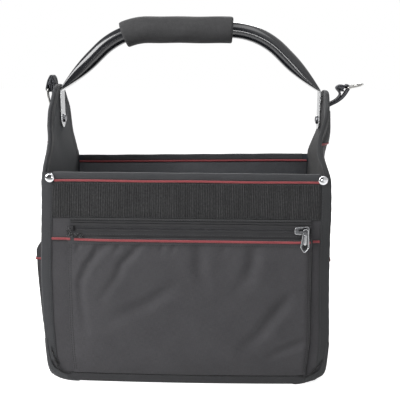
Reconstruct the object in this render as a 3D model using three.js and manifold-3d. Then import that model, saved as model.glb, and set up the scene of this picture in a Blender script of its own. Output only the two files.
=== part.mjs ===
// An open-topped tool tote. Board-stiffened cloth walls stand on a wrapped base, the end walls rise
// as tongues to a bent steel tube with a foam grip, and the front carries a zippered pocket.
// Millimetres, +Z up, X along the bag, -Y the pocket side, origin on the floor under the middle.
import * as THREE from "three";
import { mergeVertices } from "three/addons/utils/BufferGeometryUtils.js";
import Module from "manifold-3d";

const wasm = await Module();
wasm.setup();

// The box of the bag
const bagWidth = 381;
const bagDepth = 200;
const rimHeight = 297;
const cornerReach = 38;
const cornerFullness = 2.5;
const baseCornerRadius = 24;
const edgeRounding = 1.5;

// Cloth, board and sewing
const clearance = 0.3;
const clothThickness = 1.2;
const boardThickness = 1.5;
const liningThickness = 0.9;
const boardInset = 6;
const baseThickness = 1.6;
const baseBoardThickness = 3;
const wrapHeight = 13;
const bindingThickness = 1;
const bindingWidth = 13;
const bindingFoot = 30;
const patchTop = 62;
const patchSlope = 2.9;
const rimBindingWidth = 7.5;
const webbingThickness = 1.4;
const pipingWidth = 4;
const pipingProud = 2.4;
const pipingLift = 0.3;

// End walls and their tongues
const tongueRise = 109;
const tongueTop = rimHeight + tongueRise;
const shoulder = { rise: 4, radius: 22 };
const neck = { halfWidth: 66, rise: 40, radius: 45 };
const cheek = { halfWidth: 53, drop: 31, radius: 26 };
const crown = { halfWidth: 17, radius: 24 };

// Front face
const rimPipingDrop = 10;
const pocketTop = 211;
const zipRise = 12;
const ribbedBandRise = 25;
const pocketFootGap = 1;
const pocketLeftMargin = 34.5;
const pocketRightMargin = 25.5;
const pocketDepth = 8;
const pocketMouthShare = 0.7;
const pocketHem = 11;
const pocketSlopes = { left: 22, right: 8, bottom: 22, top: 15 };
const pocketEasing = { mid: 0.09, mouth: 0.36, hem: 0.38 };

// Zip
const coilDiameter = 2.6;
const coilGap = 1.6;
const tapeThickness = 0.8;
const zipMargin = 3;
const weltThickness = 2.6;
const weltRise = 6.8;
const stubLift = 2;
const sliderLength = 19;
const sliderFlare = 3;
const sliderPlate = 1.4;
const sliderFlange = 1;
const sliderPost = { length: 4, thickness: 1 };
const bailSpan = 7;
const bailWidth = 2.4;
const bailThickness = 1.2;
const pullerLength = 34;
const pullerWidth = 12;
const pullerNeck = 7;
const pullerBelly = 0.75;
const pullerRounding = { eye: 0.8, shoulder: 0.25, tip: 0.2 };
const pullerThickness = 1.8;
const pullerStandoff = 1.2;
const pullerEye = 3.6;
const pullerWindow = { width: 7, height: 7.5 };
const pullerTilt = 2;
const stopLength = 2.5;
const stopThickness = 0.8;

// Pockets on the end walls
const sleeveDrop = 31;
const sleeveBandHeight = 41;
const sleeveCavity = 1.6;
const endPocketMouth = 187;
const endPocketHem = 11;
const gussetRise = 21;
const leftPocketDepth = { edge: 11, middle: 17 };
const rightPocketDepth = { edge: 4, middle: 11 };
const footDepth = { edge: 2.1, middle: 2.6 };
const tierGap = 4;

// Pocket on the inside of the back wall
const innerPocketBottom = 70;
const innerPocketMargin = 14;

// Rivets
const cornerRivetInset = 10;
const cornerRivetDrop = 7;
const cornerCapDiameter = 12;
const cornerCapHeight = 3;
const cornerShankDiameter = 4;
const cornerTailDiameter = 10;
const tailThickness = 1.1;
const handleRivetDrop = 45;
const handleHeadDiameter = 12;
const handleHeadHeight = 3.4;
const handleShankDiameter = 6;
const handleTailDiameter = 13;

// Handle
const tubeDiameter = 22;
const handleHeight = tongueTop + 79.5;
const handleKinkDrop = 4.5;
const handleKinkRadius = 6;
const armAngle = 44;
const handleBendRadius = 105;
const strapThickness = 2.5;
const strapWidth = 22;
const strapReach = 13;
const strapFirstSection = 0.5;
const flattenLength = 64;
const strapSquareness = 6;
const gripDiameter = 36;
const gripLength = 155;
const gripShift = -17.5;
const gripEndRounding = 3;

// Rings and their webbing tabs
const ringWire = 3.2;
const ringEase = 2;
const ringDepth = 23;
const ringCornerRadius = 2.2;
const ringRoundness = 0.95;
const tabWidth = 25;
const tabThickness = 3;
const doubledTab = 4;
const singleTab = 2.2;
const tabRoll = 7;
const tabRootDrop = 8;
const tabRootHeight = 21.5;
const tabEyeWall = 2.2;
const leftEye = { out: 11, rise: -3.2, ringAngle: -94 };
const rightEye = { out: 31.7, rise: 0.6, ringAngle: 12 };

// How finely round forms are cut
const roundSides = 18;
const rivetSides = 12;
const tubeSides = 16;
const wireSides = 8;
const ringSteps = 24;
const arcSteps = 5;
const outlineSteps = 3;

const degree = Math.PI / 180;
const endFace = bagWidth / 2;
const frontFace = bagDepth / 2;
const boardStart = clothThickness + clearance;
const liningStart = boardStart + boardThickness + clearance;
const wallThickness = liningStart + liningThickness;
const wallBottom = baseThickness + clearance;
const wallTop = rimHeight - bindingThickness - clearance;
const wallSpan = endFace - wallThickness - clearance;
const overTheTop = tongueTop + bagDepth;
const bindingFace = clearance + bindingThickness;
const strapOuterFace = endFace - wallThickness - clearance;
const strapInnerFace = strapOuterFace - strapThickness;
const cornerRivetX = endFace - cornerRivetInset;
const cornerRivetZ = rimHeight - cornerRivetDrop;
const rimPipingHeight = rimHeight - rimPipingDrop;
const zipHeight = pocketTop + zipRise;
const ribbedBandBottom = pocketTop + ribbedBandRise;
const weltFoot = zipHeight + weltRise;
const pocketBottom = wrapHeight + pocketFootGap;
const pocketLeft = pocketLeftMargin - endFace;
const pocketRight = endFace - pocketRightMargin;
const sleeveTop = tongueTop - sleeveDrop;
const handleRivetHeight = tongueTop - handleRivetDrop;
const handleKinkHeight = tongueTop - handleKinkDrop;
const trimSpan = cornerRivetX - cornerCapDiameter / 2 - 2 * clearance;
const bandSpan = endFace - bindingWidth - clearance;
const endPocketSpan = frontFace - bindingWidth - clearance;
const endPocketFoot = wrapHeight + clearance;
const gussetTop = endPocketMouth + gussetRise;

const bag = new THREE.Group();

// Materials

const dull = (color, roughness) =>
  new THREE.MeshStandardMaterial({ color, roughness, metalness: 0 });
const metal = (color, roughness) =>
  new THREE.MeshStandardMaterial({ color, roughness, metalness: 1 });
const cloth = dull(0x46474a, 0.85);
const lining = dull(0x303236, 0.8);
const board = dull(0x1d1d1f, 0.6);
const webbing = dull(0x424242, 0.9);
const bindingTape = dull(0x505355, 0.85);
const piping = dull(0xa84b50, 0.7);
const zipTape = dull(0x3a3a3c, 0.85);
const foam = dull(0x484848, 0.95);
const gunmetal = metal(0x55565a, 0.35);
const chrome = metal(0xd8d8da, 0.15);
const blackPaint = dull(0x17171a, 0.15);

// Solids from geometry, and geometry from solids

function solidOf(geometry) {
  const bare = geometry.index ? geometry.toNonIndexed() : geometry.clone();
  bare.deleteAttribute("normal");
  bare.deleteAttribute("uv");
  const merged = mergeVertices(bare, 1e-4);
  const triangles = new Uint32Array(merged.index.array);
  const vertices = merged.attributes.position.array;
  const make = () =>
    new wasm.Manifold(
      new wasm.Mesh({ numProp: 3, vertProperties: vertices, triVerts: triangles }),
    );
  const made = make();
  if (made.volume() > 0) return made;
  for (let i = 0; i < triangles.length; i += 3) {
    [triangles[i + 1], triangles[i + 2]] = [triangles[i + 2], triangles[i + 1]];
  }
  return make();
}

function addMesh(name, solid, material, parent = bag) {
  const result = solid.getMesh();
  const stride = result.numProp;
  const positions = new Float32Array(result.numVert * 3);
  for (let i = 0; i < result.numVert; i++) {
    positions.set(result.vertProperties.subarray(i * stride, i * stride + 3), i * 3);
  }
  const geometry = new THREE.BufferGeometry();
  geometry.setAttribute("position", new THREE.BufferAttribute(positions, 3));
  geometry.setIndex(new THREE.BufferAttribute(result.triVerts, 1));
  geometry.computeVertexNormals();
  const mesh = new THREE.Mesh(geometry, material);
  mesh.name = name;
  parent.add(mesh);
  return mesh;
}

const joinAll = (solids) => solids.reduce((sum, solid) => sum.add(solid));

// Shapes and the solids drawn from them

// A closed or open run of corners [u, v, radius], each rounded by a true arc of its radius.
function roundCorners(path, corners, closed) {
  const at = (i) => corners[(i + corners.length) % corners.length];
  corners.forEach(([u, v, radius = 0], i) => {
    const isEnd = !closed && (i === 0 || i === corners.length - 1);
    if (isEnd || radius === 0) {
      if (i === 0) path.moveTo(u, v);
      else path.lineTo(u, v);
      return;
    }
    const corner = new THREE.Vector2(u, v);
    const before = new THREE.Vector2(at(i - 1)[0], at(i - 1)[1]).sub(corner).normalize();
    const after = new THREE.Vector2(at(i + 1)[0], at(i + 1)[1]).sub(corner).normalize();
    const half = Math.acos(THREE.MathUtils.clamp(before.dot(after), -1, 1)) / 2;
    const start = before.clone().multiplyScalar(radius / Math.tan(half)).add(corner);
    const end = after.clone().multiplyScalar(radius / Math.tan(half)).add(corner);
    const centre = before
      .clone()
      .add(after)
      .normalize()
      .multiplyScalar(radius / Math.sin(half))
      .add(corner);
    const clockwise = before.cross(after) > 0;
    if (i === 0) path.moveTo(start.x, start.y);
    else if (path.curves.length === 0) path.lineTo(start.x, start.y);
    path.absarc(
      centre.x,
      centre.y,
      radius,
      Math.atan2(start.y - centre.y, start.x - centre.x),
      Math.atan2(end.y - centre.y, end.x - centre.x),
      clockwise,
    );
  });
  if (closed) path.closePath();
  return path;
}

const roundedShape = (corners) => roundCorners(new THREE.Shape(), corners, true);

const rectangle = (left, right, bottom, top, radius = 0) =>
  roundedShape([
    [left, bottom, radius],
    [right, bottom, radius],
    [right, top, radius],
    [left, top, radius],
  ]);

const along = {
  x: new THREE.Vector3(1, 0, 0),
  y: new THREE.Vector3(0, 1, 0),
  z: new THREE.Vector3(0, 0, 1),
};
const drawnOn = {
  x: [along.y, along.z, along.x],
  y: [along.x, along.z, along.y.clone().negate()],
  z: [along.x, along.y, along.z],
};

// A shape drawn across one axis and given thickness between two places on that axis.
// It is drawn in (y, z) across x, in (x, z) across y and in (x, y) across z.
function slab(shape, axis, one, other, steps = arcSteps) {
  const low = Math.min(one, other);
  const high = Math.max(one, other);
  const geometry = new THREE.ExtrudeGeometry(shape, {
    depth: high - low,
    bevelEnabled: false,
    curveSegments: steps,
  });
  geometry.applyMatrix4(new THREE.Matrix4().makeBasis(...drawnOn[axis]));
  const start = along[axis].clone().multiplyScalar(axis === "y" ? high : low);
  geometry.translate(start.x, start.y, start.z);
  return solidOf(geometry);
}

const block = (x, y, z) => slab(rectangle(x[0], x[1], z[0], z[1]), "y", y[0], y[1]);

// Everything above a height, as far as the part reaches.
const above = (height) =>
  block([-bagWidth, bagWidth], [-bagDepth, bagDepth], [height, overTheTop]);

// A turned solid. Its profile lists [radius, distance along the direction] from the given place.
function turned(profile, place, direction, sides = roundSides) {
  const points = profile.map(([radius, distance]) => new THREE.Vector2(radius, distance));
  const geometry = new THREE.LatheGeometry(points, sides);
  const turn = new THREE.Quaternion().setFromUnitVectors(along.y, direction);
  geometry.applyQuaternion(turn);
  geometry.translate(place.x, place.y, place.z);
  return solidOf(geometry);
}

function pin(place, direction, diameter, length) {
  const radius = diameter / 2;
  const profile = [
    [0, -length / 2],
    [radius, -length / 2],
    [radius, length / 2],
    [0, length / 2],
  ];
  return turned(profile, place, direction);
}

// A solid through sections of equal count, capped at both ends or closed on itself.
function loft(sections, closedRun = false) {
  const count = sections[0].length;
  const positions = sections.flat().flatMap((p) => [p.x, p.y, p.z]);
  const index = [];
  const runs = closedRun ? sections.length : sections.length - 1;
  for (let i = 0; i < runs; i++) {
    const here = i * count;
    const next = ((i + 1) % sections.length) * count;
    for (let j = 0; j < count; j++) {
      const k = (j + 1) % count;
      index.push(here + j, here + k, next + k, here + j, next + k, next + j);
    }
  }
  if (!closedRun) {
    const last = (sections.length - 1) * count;
    for (let j = 1; j < count - 1; j++) {
      index.push(0, j + 1, j, last, last + j, last + j + 1);
    }
  }
  const geometry = new THREE.BufferGeometry();
  geometry.setAttribute("position", new THREE.Float32BufferAttribute(positions, 3));
  geometry.setIndex(index);
  return solidOf(geometry);
}

const mix = THREE.MathUtils.lerp;

function spaced(from, to, steps) {
  return Array.from({ length: steps + 1 }, (_, i) => mix(from, to, i / steps));
}

// The bag's envelope: a box whose vertical edges round off more and more towards the base.

function cornerRounding(height) {
  const left = THREE.MathUtils.clamp(1 - height / cornerReach, 0, 1);
  const reach = (1 - left ** cornerFullness) ** (1 / cornerFullness);
  const rounding = cornerReach * (1 - reach);
  return THREE.MathUtils.clamp(rounding, edgeRounding, baseCornerRadius);
}

function planSection(outset, height) {
  const radius = Math.max(cornerRounding(height) + outset, edgeRounding / 2);
  const quarters = [
    [1, 1],
    [-1, 1],
    [-1, -1],
    [1, -1],
  ];
  const points = [];
  quarters.forEach(([signX, signY]) => {
    const turns = spaced(0, 90 * degree, arcSteps);
    if (signX * signY < 0) turns.reverse();
    turns.forEach((turn) => {
      const u = Math.cos(turn) ** (2 / cornerFullness);
      const v = Math.sin(turn) ** (2 / cornerFullness);
      const x = endFace + outset - radius * (1 - u);
      const y = frontFace + outset - radius * (1 - v);
      points.push(new THREE.Vector3(signX * x, signY * y, height));
    });
  });
  return points;
}

function envelope(outset, from, to) {
  const shares = [0.02, 0.05, 0.1, 0.18, 0.3, 0.5, 0.8];
  const bends = shares.map((share) => share * cornerReach);
  const heights = [from, ...bends.filter((z) => z > from && z < to), to];
  return loft(heights.map((z) => planSection(outset, z)));
}

// The outline of an end wall in (y, z): up from the base, in over the shoulder to the neck, and
// round the cheeks to the crown.

const endCorners = [
  [frontFace, 0, 0],
  [frontFace, rimHeight + shoulder.rise, shoulder.radius],
  [neck.halfWidth, rimHeight + neck.rise, -neck.radius],
  [cheek.halfWidth, tongueTop - cheek.drop, cheek.radius],
  [crown.halfWidth, tongueTop, crown.radius],
];

// The same corners with every edge moved out by an offset. A hollow corner has a negative radius.
function offsetCorners(offset) {
  const mirrored = endCorners.map(([y, z, radius]) => [-y, z, radius]).reverse();
  const run = [...endCorners, ...mirrored];
  const at = (i) => run[(i + run.length) % run.length];
  const normal = (from, to) => {
    const length = Math.hypot(to[0] - from[0], to[1] - from[1]);
    return [(to[1] - from[1]) / length, (from[0] - to[0]) / length];
  };
  return run.map(([y, z, radius], i) => {
    const before = normal(at(i - 1), at(i));
    const after = normal(at(i), at(i + 1));
    const spread = 1 + before[0] * after[0] + before[1] * after[1];
    const moved = [0, 1].map((k) => (offset * (before[k] + after[k])) / spread);
    const grown = radius === 0 ? 0 : Math.abs(radius + offset);
    return [y + moved[0], z + moved[1], grown];
  });
}

function endOutline(offset, bottom) {
  const corners = offsetCorners(offset);
  const [foot] = corners[0];
  corners[0] = [foot, bottom, 0];
  corners[corners.length - 1] = [-foot, bottom, 0];
  return roundedShape(corners);
}

const endSlab = (outline, side, from, to) =>
  slab(outline, "x", side * from, side * to, outlineSteps);

// Half the width of the end wall at a height above the rim, its edge moved by an offset.
function tongueHalfWidth(height, offset) {
  const edge = offsetCorners(offset).slice(1, endCorners.length);
  const next = edge.findIndex(([, z]) => z >= height);
  const [wide, low] = edge[next - 1];
  const [narrow, high] = edge[next];
  return mix(wide, narrow, (height - low) / (high - low));
}

// Fasteners through the walls

function cornerHoles(diameter) {
  const holes = [];
  for (const side of [-1, 1]) {
    for (const face of [-1, 1]) {
      const place = new THREE.Vector3(side * cornerRivetX, face * frontFace, cornerRivetZ);
      holes.push(pin(place, along.y, diameter, bagDepth / 2));
    }
  }
  return joinAll(holes);
}

function handleHoles(diameter) {
  const holes = [-1, 1].map((side) => {
    const place = new THREE.Vector3(side * endFace, 0, handleRivetHeight);
    return pin(place, along.x, diameter, bagWidth / 8);
  });
  return joinAll(holes);
}

const cornerShankHoles = cornerHoles(cornerShankDiameter + 2 * clearance);
const handleShankHoles = handleHoles(handleShankDiameter + 2 * clearance);

function domeRivet(place, outward, sizes) {
  const { cap, capHeight, shank, tail, grip } = sizes;
  const dome = spaced(0, 90 * degree, arcSteps - 1).map((turn) => [
    (cap / 2) * Math.sin(turn),
    capHeight * Math.cos(turn),
  ]);
  const profile = [
    ...dome,
    [shank / 2, 0],
    [shank / 2, -grip],
    [tail / 2, -grip],
    [tail / 2, -grip - tailThickness],
    [0, -grip - tailThickness],
  ];
  profile[0][0] = 0;
  return turned(profile, place, outward, rivetSides);
}

function buildRivets() {
  const capSeat = frontFace + Math.max(bindingFace, clearance + webbingThickness) + clearance;
  for (const [sideName, side] of [["left", -1], ["right", 1]]) {
    for (const [faceName, face] of [["front", -1], ["back", 1]]) {
      const place = new THREE.Vector3(side * cornerRivetX, face * capSeat, cornerRivetZ);
      const solid = domeRivet(place, along.y.clone().multiplyScalar(face), {
        cap: cornerCapDiameter,
        capHeight: cornerCapHeight,
        shank: cornerShankDiameter,
        tail: cornerTailDiameter,
        grip: capSeat - (frontFace - wallThickness - clearance),
      });
      addMesh(`${faceName}_${sideName}_rivet`, solid, chrome);
    }
    const seat = strapInnerFace - clearance;
    const solid = domeRivet(
      new THREE.Vector3(side * seat, 0, handleRivetHeight),
      along.x.clone().multiplyScalar(-side),
      {
        cap: handleHeadDiameter,
        capHeight: handleHeadHeight,
        shank: handleShankDiameter,
        tail: handleTailDiameter,
        grip: endFace + clearance - seat,
      },
    );
    addMesh(`${sideName}_handle_rivet`, solid, chrome);
  }
}

// Base: a stiff board inside, and a cloth tray wrapped up round the foot of the walls

function buildBase() {
  const outside = envelope(bindingFace + clearance, 0, wrapHeight);
  const inside = envelope(clearance, baseThickness, wrapHeight + clearance);
  addMesh("base_cloth", outside.subtract(inside), cloth);
  const inset = -wallThickness - 2 * clearance;
  const boardBottom = baseThickness + clearance;
  const boardTop = boardBottom + baseBoardThickness;
  addMesh("base_board", envelope(inset, boardBottom, boardTop), board);
}

// A diagonal patch round each lower corner, over the wrap and the foot of the edge binding

function buildCornerPatches() {
  const inner = bindingFace + 2 * clearance;
  const outer = inner + bindingThickness;
  const shell = envelope(outer, 0, patchTop).subtract(envelope(inner, -1, patchTop + 1));
  const reach = patchTop / patchSlope;
  for (const [sideName, side] of [["left", -1], ["right", 1]]) {
    for (const [faceName, face] of [["front", -1], ["back", 1]]) {
      const corner = (fromX, fromY, z) =>
        new THREE.Vector3(side * (endFace + outer - fromX), face * (frontFace + outer - fromY), z);
      const wedge = loft([
        [corner(-1, -1, -1), corner(reach, -1, -1), corner(-1, reach, -1)],
        [corner(-1, -1, patchTop), corner(0, -1, patchTop), corner(-1, 0, patchTop)],
      ]);
      addMesh(`${faceName}_${sideName}_corner_patch`, shell.intersect(wedge), bindingTape);
    }
  }
}

// Walls: outer cloth, stiffening board and lining, front and back between the two ends

function buildLongWalls() {
  const wholeBag = envelope(0, 0, overTheTop);
  const boardBox = envelope(-clothThickness, 0, overTheTop);
  for (const [faceName, face] of [["front", -1], ["back", 1]]) {
    const layer = (outline, start, thickness) =>
      slab(outline, "y", face * (frontFace - start), face * (frontFace - start - thickness));
    const sheet = rectangle(-wallSpan, wallSpan, wallBottom, wallTop);
    const stiffener = rectangle(
      -wallSpan + boardInset,
      wallSpan - boardInset,
      wallBottom + boardInset,
      wallTop - boardInset / 2,
    );
    const outer = layer(sheet, 0, clothThickness).intersect(wholeBag);
    const middle = layer(stiffener, boardStart, boardThickness).intersect(boardBox);
    const inner = layer(sheet, liningStart, liningThickness).intersect(wholeBag);
    addMesh(`${faceName}_panel`, outer.subtract(cornerShankHoles), cloth);
    addMesh(`${faceName}_board`, middle.subtract(cornerShankHoles), board);
    addMesh(`${faceName}_lining`, inner.subtract(cornerShankHoles), lining);
  }
}

// End walls, each rising into a tongue, with binding round the whole edge

function buildEnds() {
  const wholeBag = envelope(0, 0, overTheTop);
  const boardBox = envelope(-clothThickness, 0, overTheTop);
  const innerBindingFoot = rimHeight + clearance;
  for (const [sideName, side] of [["left", -1], ["right", 1]]) {
    const layer = (outline, start, thickness) =>
      endSlab(outline, side, endFace - start, endFace - start - thickness);
    const full = endOutline(0, wallBottom);
    const outer = layer(full, 0, clothThickness).intersect(wholeBag);
    const middle = layer(endOutline(-boardInset, wallBottom + boardInset), boardStart, boardThickness);
    const rebate = layer(endOutline(2 * bindingFace, 0), liningStart - clearance, wallThickness)
      .subtract(layer(endOutline(-bindingWidth - clearance, 0), 0, 2 * wallThickness))
      .intersect(above(innerBindingFoot - clearance));
    const inner = layer(full, liningStart, liningThickness).intersect(wholeBag).subtract(rebate);
    addMesh(`${sideName}_end_panel`, outer.subtract(handleShankHoles), cloth);
    addMesh(`${sideName}_end_board`, middle.intersect(boardBox).subtract(handleShankHoles), board);
    addMesh(`${sideName}_end_lining`, inner.subtract(handleShankHoles), lining);
    addMesh(`${sideName}_end_binding`, endBinding(side, innerBindingFoot), bindingTape);
  }
}

function endBinding(side, innerFoot) {
  const outline = (offset) => endOutline(offset, 0);
  const band = (from, to) =>
    endSlab(outline(bindingFace), side, from, to).subtract(
      endSlab(outline(-bindingWidth), side, from - 1, to + 1),
    );
  const outerBand = band(endFace + clearance, endFace + bindingFace).intersect(above(bindingFoot));
  const innerFace = endFace - wallThickness;
  const innerBand = band(innerFace, innerFace + liningThickness).intersect(above(innerFoot));
  const edge = endSlab(outline(bindingFace), side, innerFace, endFace + bindingFace)
    .subtract(endSlab(outline(clearance), side, innerFace - 1, endFace + bindingFace + 1))
    .intersect(above(bindingFoot));
  const flanges = [-1, 1].map((face) =>
    block(
      [side * (endFace - bindingWidth), side * (endFace + bindingFace)].sort((a, b) => a - b),
      [face * (frontFace + clearance), face * (frontFace + bindingFace)],
      [bindingFoot, rimHeight],
    ),
  );
  return joinAll([outerBand, innerBand, edge, ...flanges])
    .intersect(envelope(bindingFace, 0, overTheTop))
    .subtract(cornerShankHoles);
}

// Trim of the long walls: rim binding, red piping under it and the ribbed webbing band

// A half-round strip of piping, flat side at the seat, drawn in (across, height).
function pipingProfile(seat, sign, height) {
  const half = pipingWidth / 2;
  const shape = new THREE.Shape();
  shape.moveTo(seat, height - half);
  const arc = spaced(-90 * degree, 90 * degree, arcSteps);
  arc.forEach((turn) => {
    const out = pipingProud * (pipingLift + (1 - pipingLift) * Math.cos(turn));
    shape.lineTo(seat + sign * out, height + half * Math.sin(turn));
  });
  shape.lineTo(seat, height + half);
  shape.closePath();
  return shape;
}

function buildLongTrim() {
  for (const [faceName, face] of [["front", -1], ["back", 1]]) {
    const outside = face * (frontFace + bindingFace);
    const outsideSeat = face * (frontFace + clearance);
    const insideSeat = face * (frontFace - wallThickness - clearance);
    const inside = face * (frontFace - wallThickness - bindingFace);
    const foot = rimHeight - rimBindingWidth;
    const underTop = rimHeight - bindingThickness;
    const fold = roundedShape([
      [outside, foot],
      [outside, rimHeight, bindingThickness],
      [inside, rimHeight, bindingThickness],
      [inside, foot],
      [insideSeat, foot],
      [insideSeat, underTop],
      [outsideSeat, underTop],
      [outsideSeat, foot],
    ]);
    addMesh(`${faceName}_rim_binding`, slab(fold, "x", -trimSpan, trimSpan), bindingTape);
    const strip = pipingProfile(outsideSeat, face, rimPipingHeight);
    addMesh(`${faceName}_rim_piping`, slab(strip, "x", -trimSpan, trimSpan), piping);
    const bandTop = rimPipingHeight - pipingWidth / 2 - clearance;
    const band = rectangle(-bandSpan, bandSpan, ribbedBandBottom, bandTop);
    const bandOut = outsideSeat + face * webbingThickness;
    addMesh(`${faceName}_webbing_band`, slab(band, "y", outsideSeat, bandOut), webbing);
  }
}

// Pocket inside the back wall, lying flat, its mouth edged with piping

function buildInnerPocket() {
  const seat = frontFace - wallThickness - clearance;
  const span = wallSpan - innerPocketMargin;
  const top = rimPipingHeight - pipingWidth / 2 - clearance;
  const sheet = rectangle(-span, span, innerPocketBottom, top, innerPocketMargin / 2);
  addMesh("back_inner_pocket", slab(sheet, "y", seat, seat - liningThickness), lining);
  const strip = pipingProfile(seat, -1, rimPipingHeight);
  addMesh("back_inner_piping", slab(strip, "x", -trimSpan, trimSpan), piping);
}

// Front pocket: a shallow cloth tray sewn to the panel on three sides, its top edge on the zip

const hemShare = pocketMouthShare + 0.02;

// How far out of the panel each step of the tray stands, as a share of its depth, with how far its
// outline has drawn in: a share of each side's slope, and a distance down from the top edge.
const pocketLevels = [
  { out: 0, drawn: 0, down: 0 },
  { out: pocketMouthShare / 2, drawn: pocketEasing.mid, down: 0 },
  { out: pocketMouthShare, drawn: pocketEasing.mouth, down: 0 },
  { out: hemShare, drawn: pocketEasing.hem, down: pocketHem },
  { out: 1, drawn: 1, down: pocketHem + pocketSlopes.top },
];

function pocketSolid(wall, overlap) {
  const outline = (level, depth) => {
    const left = pocketLeft + level.drawn * pocketSlopes.left + wall;
    const right = pocketRight - level.drawn * pocketSlopes.right - wall;
    const bottom = pocketBottom + level.drawn * pocketSlopes.bottom + wall;
    const top = pocketTop - level.down + overlap;
    return [
      new THREE.Vector3(left, -depth, bottom),
      new THREE.Vector3(right, -depth, bottom),
      new THREE.Vector3(right, -depth, top),
      new THREE.Vector3(left, -depth, top),
    ];
  };
  const seat = frontFace + clearance;
  const sections = pocketLevels.map((level) =>
    outline(level, seat + level.out * (pocketDepth - wall)),
  );
  return loft([outline(pocketLevels[0], seat - overlap), ...sections]);
}

function buildFrontPocket() {
  const shell = pocketSolid(0, 0.001).subtract(pocketSolid(clothThickness, clearance));
  addMesh("front_pocket", shell, cloth);
  const face = frontFace + 2 * clearance + hemShare * pocketDepth;
  const height = pocketTop - pipingWidth / 2 - stubLift;
  const strip = pipingProfile(-face, -1, height);
  const left = pocketLeft + pocketSlopes.left / 2;
  const right = pocketRight - pocketSlopes.right / 2;
  addMesh("front_pocket_piping", slab(strip, "x", left, right), piping);
  const stub = pipingProfile(-frontFace - clearance, -1, height);
  const leftStub = slab(stub, "x", -bandSpan, pocketLeft - clearance);
  const rightStub = slab(stub, "x", pocketRight + clearance, bandSpan);
  addMesh("left_piping_stub", leftStub, piping);
  addMesh("right_piping_stub", rightStub, piping);
}

// Zip across the pocket's mouth: two coiled tapes, end stops, and a slider with its puller

const tapeFace = frontFace + pocketMouthShare * (pocketDepth - clothThickness);
const tapeMiddle = tapeFace - tapeThickness / 2;
const zipLeft = pocketLeft + zipMargin;
const zipRight = pocketRight + clearance;
const coilCentre = coilGap / 2 + coilDiameter / 2;
const sliderNose = coilGap + 2 * (coilDiameter + clearance + sliderFlange);
const sliderTail = sliderNose + sliderFlare;
const sliderTailRounding = 0.2;
const sliderRight = pocketRight - stopLength - clearance;
const sliderLeft = sliderRight - sliderLength;
const coilFace = tapeMiddle + coilDiameter / 2;
const coilBack = tapeMiddle - coilDiameter / 2;

function coil(sign) {
  const middle = (zipLeft + zipRight) / 2;
  const place = new THREE.Vector3(middle, -tapeMiddle, zipHeight + sign * coilCentre);
  return pin(place, along.x, coilDiameter, zipRight - zipLeft - 2 * clearance);
}

function buildZip() {
  const tape = (bottom, top) =>
    slab(rectangle(zipLeft, zipRight, bottom, top), "y", -tapeFace, -tapeFace + tapeThickness);
  const lower = tape(pocketTop + clearance, zipHeight - coilCentre).add(coil(-1));
  addMesh("zip_lower_tape", lower, zipTape);
  const weltSeat = frontFace + clearance;
  const weltTop = ribbedBandBottom - clearance;
  const weltShape = rectangle(zipLeft, zipRight, weltFoot, weltTop);
  const welt = slab(weltShape, "y", -weltSeat, -weltSeat - weltThickness);
  const bridgeShape = rectangle(zipLeft, zipRight, weltFoot, weltFoot + weltThickness);
  const bridge = slab(bridgeShape, "y", -weltSeat - weltThickness / 2, -tapeFace);
  const upper = tape(zipHeight + coilCentre, weltFoot + tapeThickness);
  addMesh("zip_upper_tape", joinAll([upper, coil(1), welt, bridge]), zipTape);
  const half = coilGap / 2 + coilDiameter;
  const heights = [zipHeight - half, zipHeight + half];
  const front = -coilFace - clearance;
  const stop = (x) => block([x, x + stopLength], [front - stopThickness, front], heights);
  addMesh("zip_left_stop", stop(zipLeft + stopLength), gunmetal);
  addMesh("zip_right_stop", stop(sliderRight + clearance), gunmetal);
}

// The slider's plates narrow to the nose, which leads along the closed chain. The channel that the
// coils run in is the same outline drawn in by the flange, and open at both ends.
function sliderOutline(inset, overrun = 0) {
  const nose = sliderNose / 2 - inset;
  const tail = sliderTail / 2 - inset;
  const corner = overrun > 0 ? 0 : sliderTail * sliderTailRounding;
  return roundedShape([
    [sliderLeft - overrun, zipHeight - nose, corner],
    [sliderRight + overrun, zipHeight - tail, corner],
    [sliderRight + overrun, zipHeight + tail, corner],
    [sliderLeft - overrun, zipHeight + nose, corner],
  ]);
}

const topPlateSeat = coilFace + clearance;
const topPlateFace = topPlateSeat + sliderPlate;
const bottomPlateSeat = coilBack - clearance;
const pullerBack = frontFace + clearance + pocketDepth + pullerStandoff;
const bailUnder = pullerBack + pullerThickness + clearance;
const bailFace = bailUnder + bailThickness;
const bailRight = (sliderLeft + sliderRight) / 2 + bailSpan / 2 + bailThickness;

function buildSlider() {
  const flange = (from, to) =>
    slab(sliderOutline(0), "y", from, to).subtract(
      slab(sliderOutline(sliderFlange, 1), "y", from - 1, to + 1),
    );
  const tapeGap = tapeThickness / 2 + clearance;
  const post = block(
    [sliderRight - sliderPost.length - sliderFlange, sliderRight - sliderFlange],
    [-topPlateSeat - clearance, -bottomPlateSeat + clearance],
    [zipHeight - sliderPost.thickness / 2, zipHeight + sliderPost.thickness / 2],
  );
  const bailHalf = [zipHeight - bailWidth / 2, zipHeight + bailWidth / 2];
  const bailLeft = bailRight - bailSpan - bailThickness;
  const leg = (x) =>
    block([x - bailThickness / 2, x + bailThickness / 2], [-bailFace, -topPlateSeat - clearance], bailHalf);
  const bar = block([bailLeft, bailRight], [-bailFace, -bailUnder], bailHalf);
  const solid = joinAll([
    slab(sliderOutline(0), "y", -topPlateSeat, -topPlateFace),
    slab(sliderOutline(sliderFlange / 4), "y", -bottomPlateSeat, -bottomPlateSeat + sliderPlate),
    flange(-topPlateSeat - clearance, -tapeMiddle - tapeGap),
    post,
    leg(bailLeft),
    leg(bailRight),
    bar,
  ]);
  addMesh("zip_slider", solid, gunmetal);
}

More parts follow.
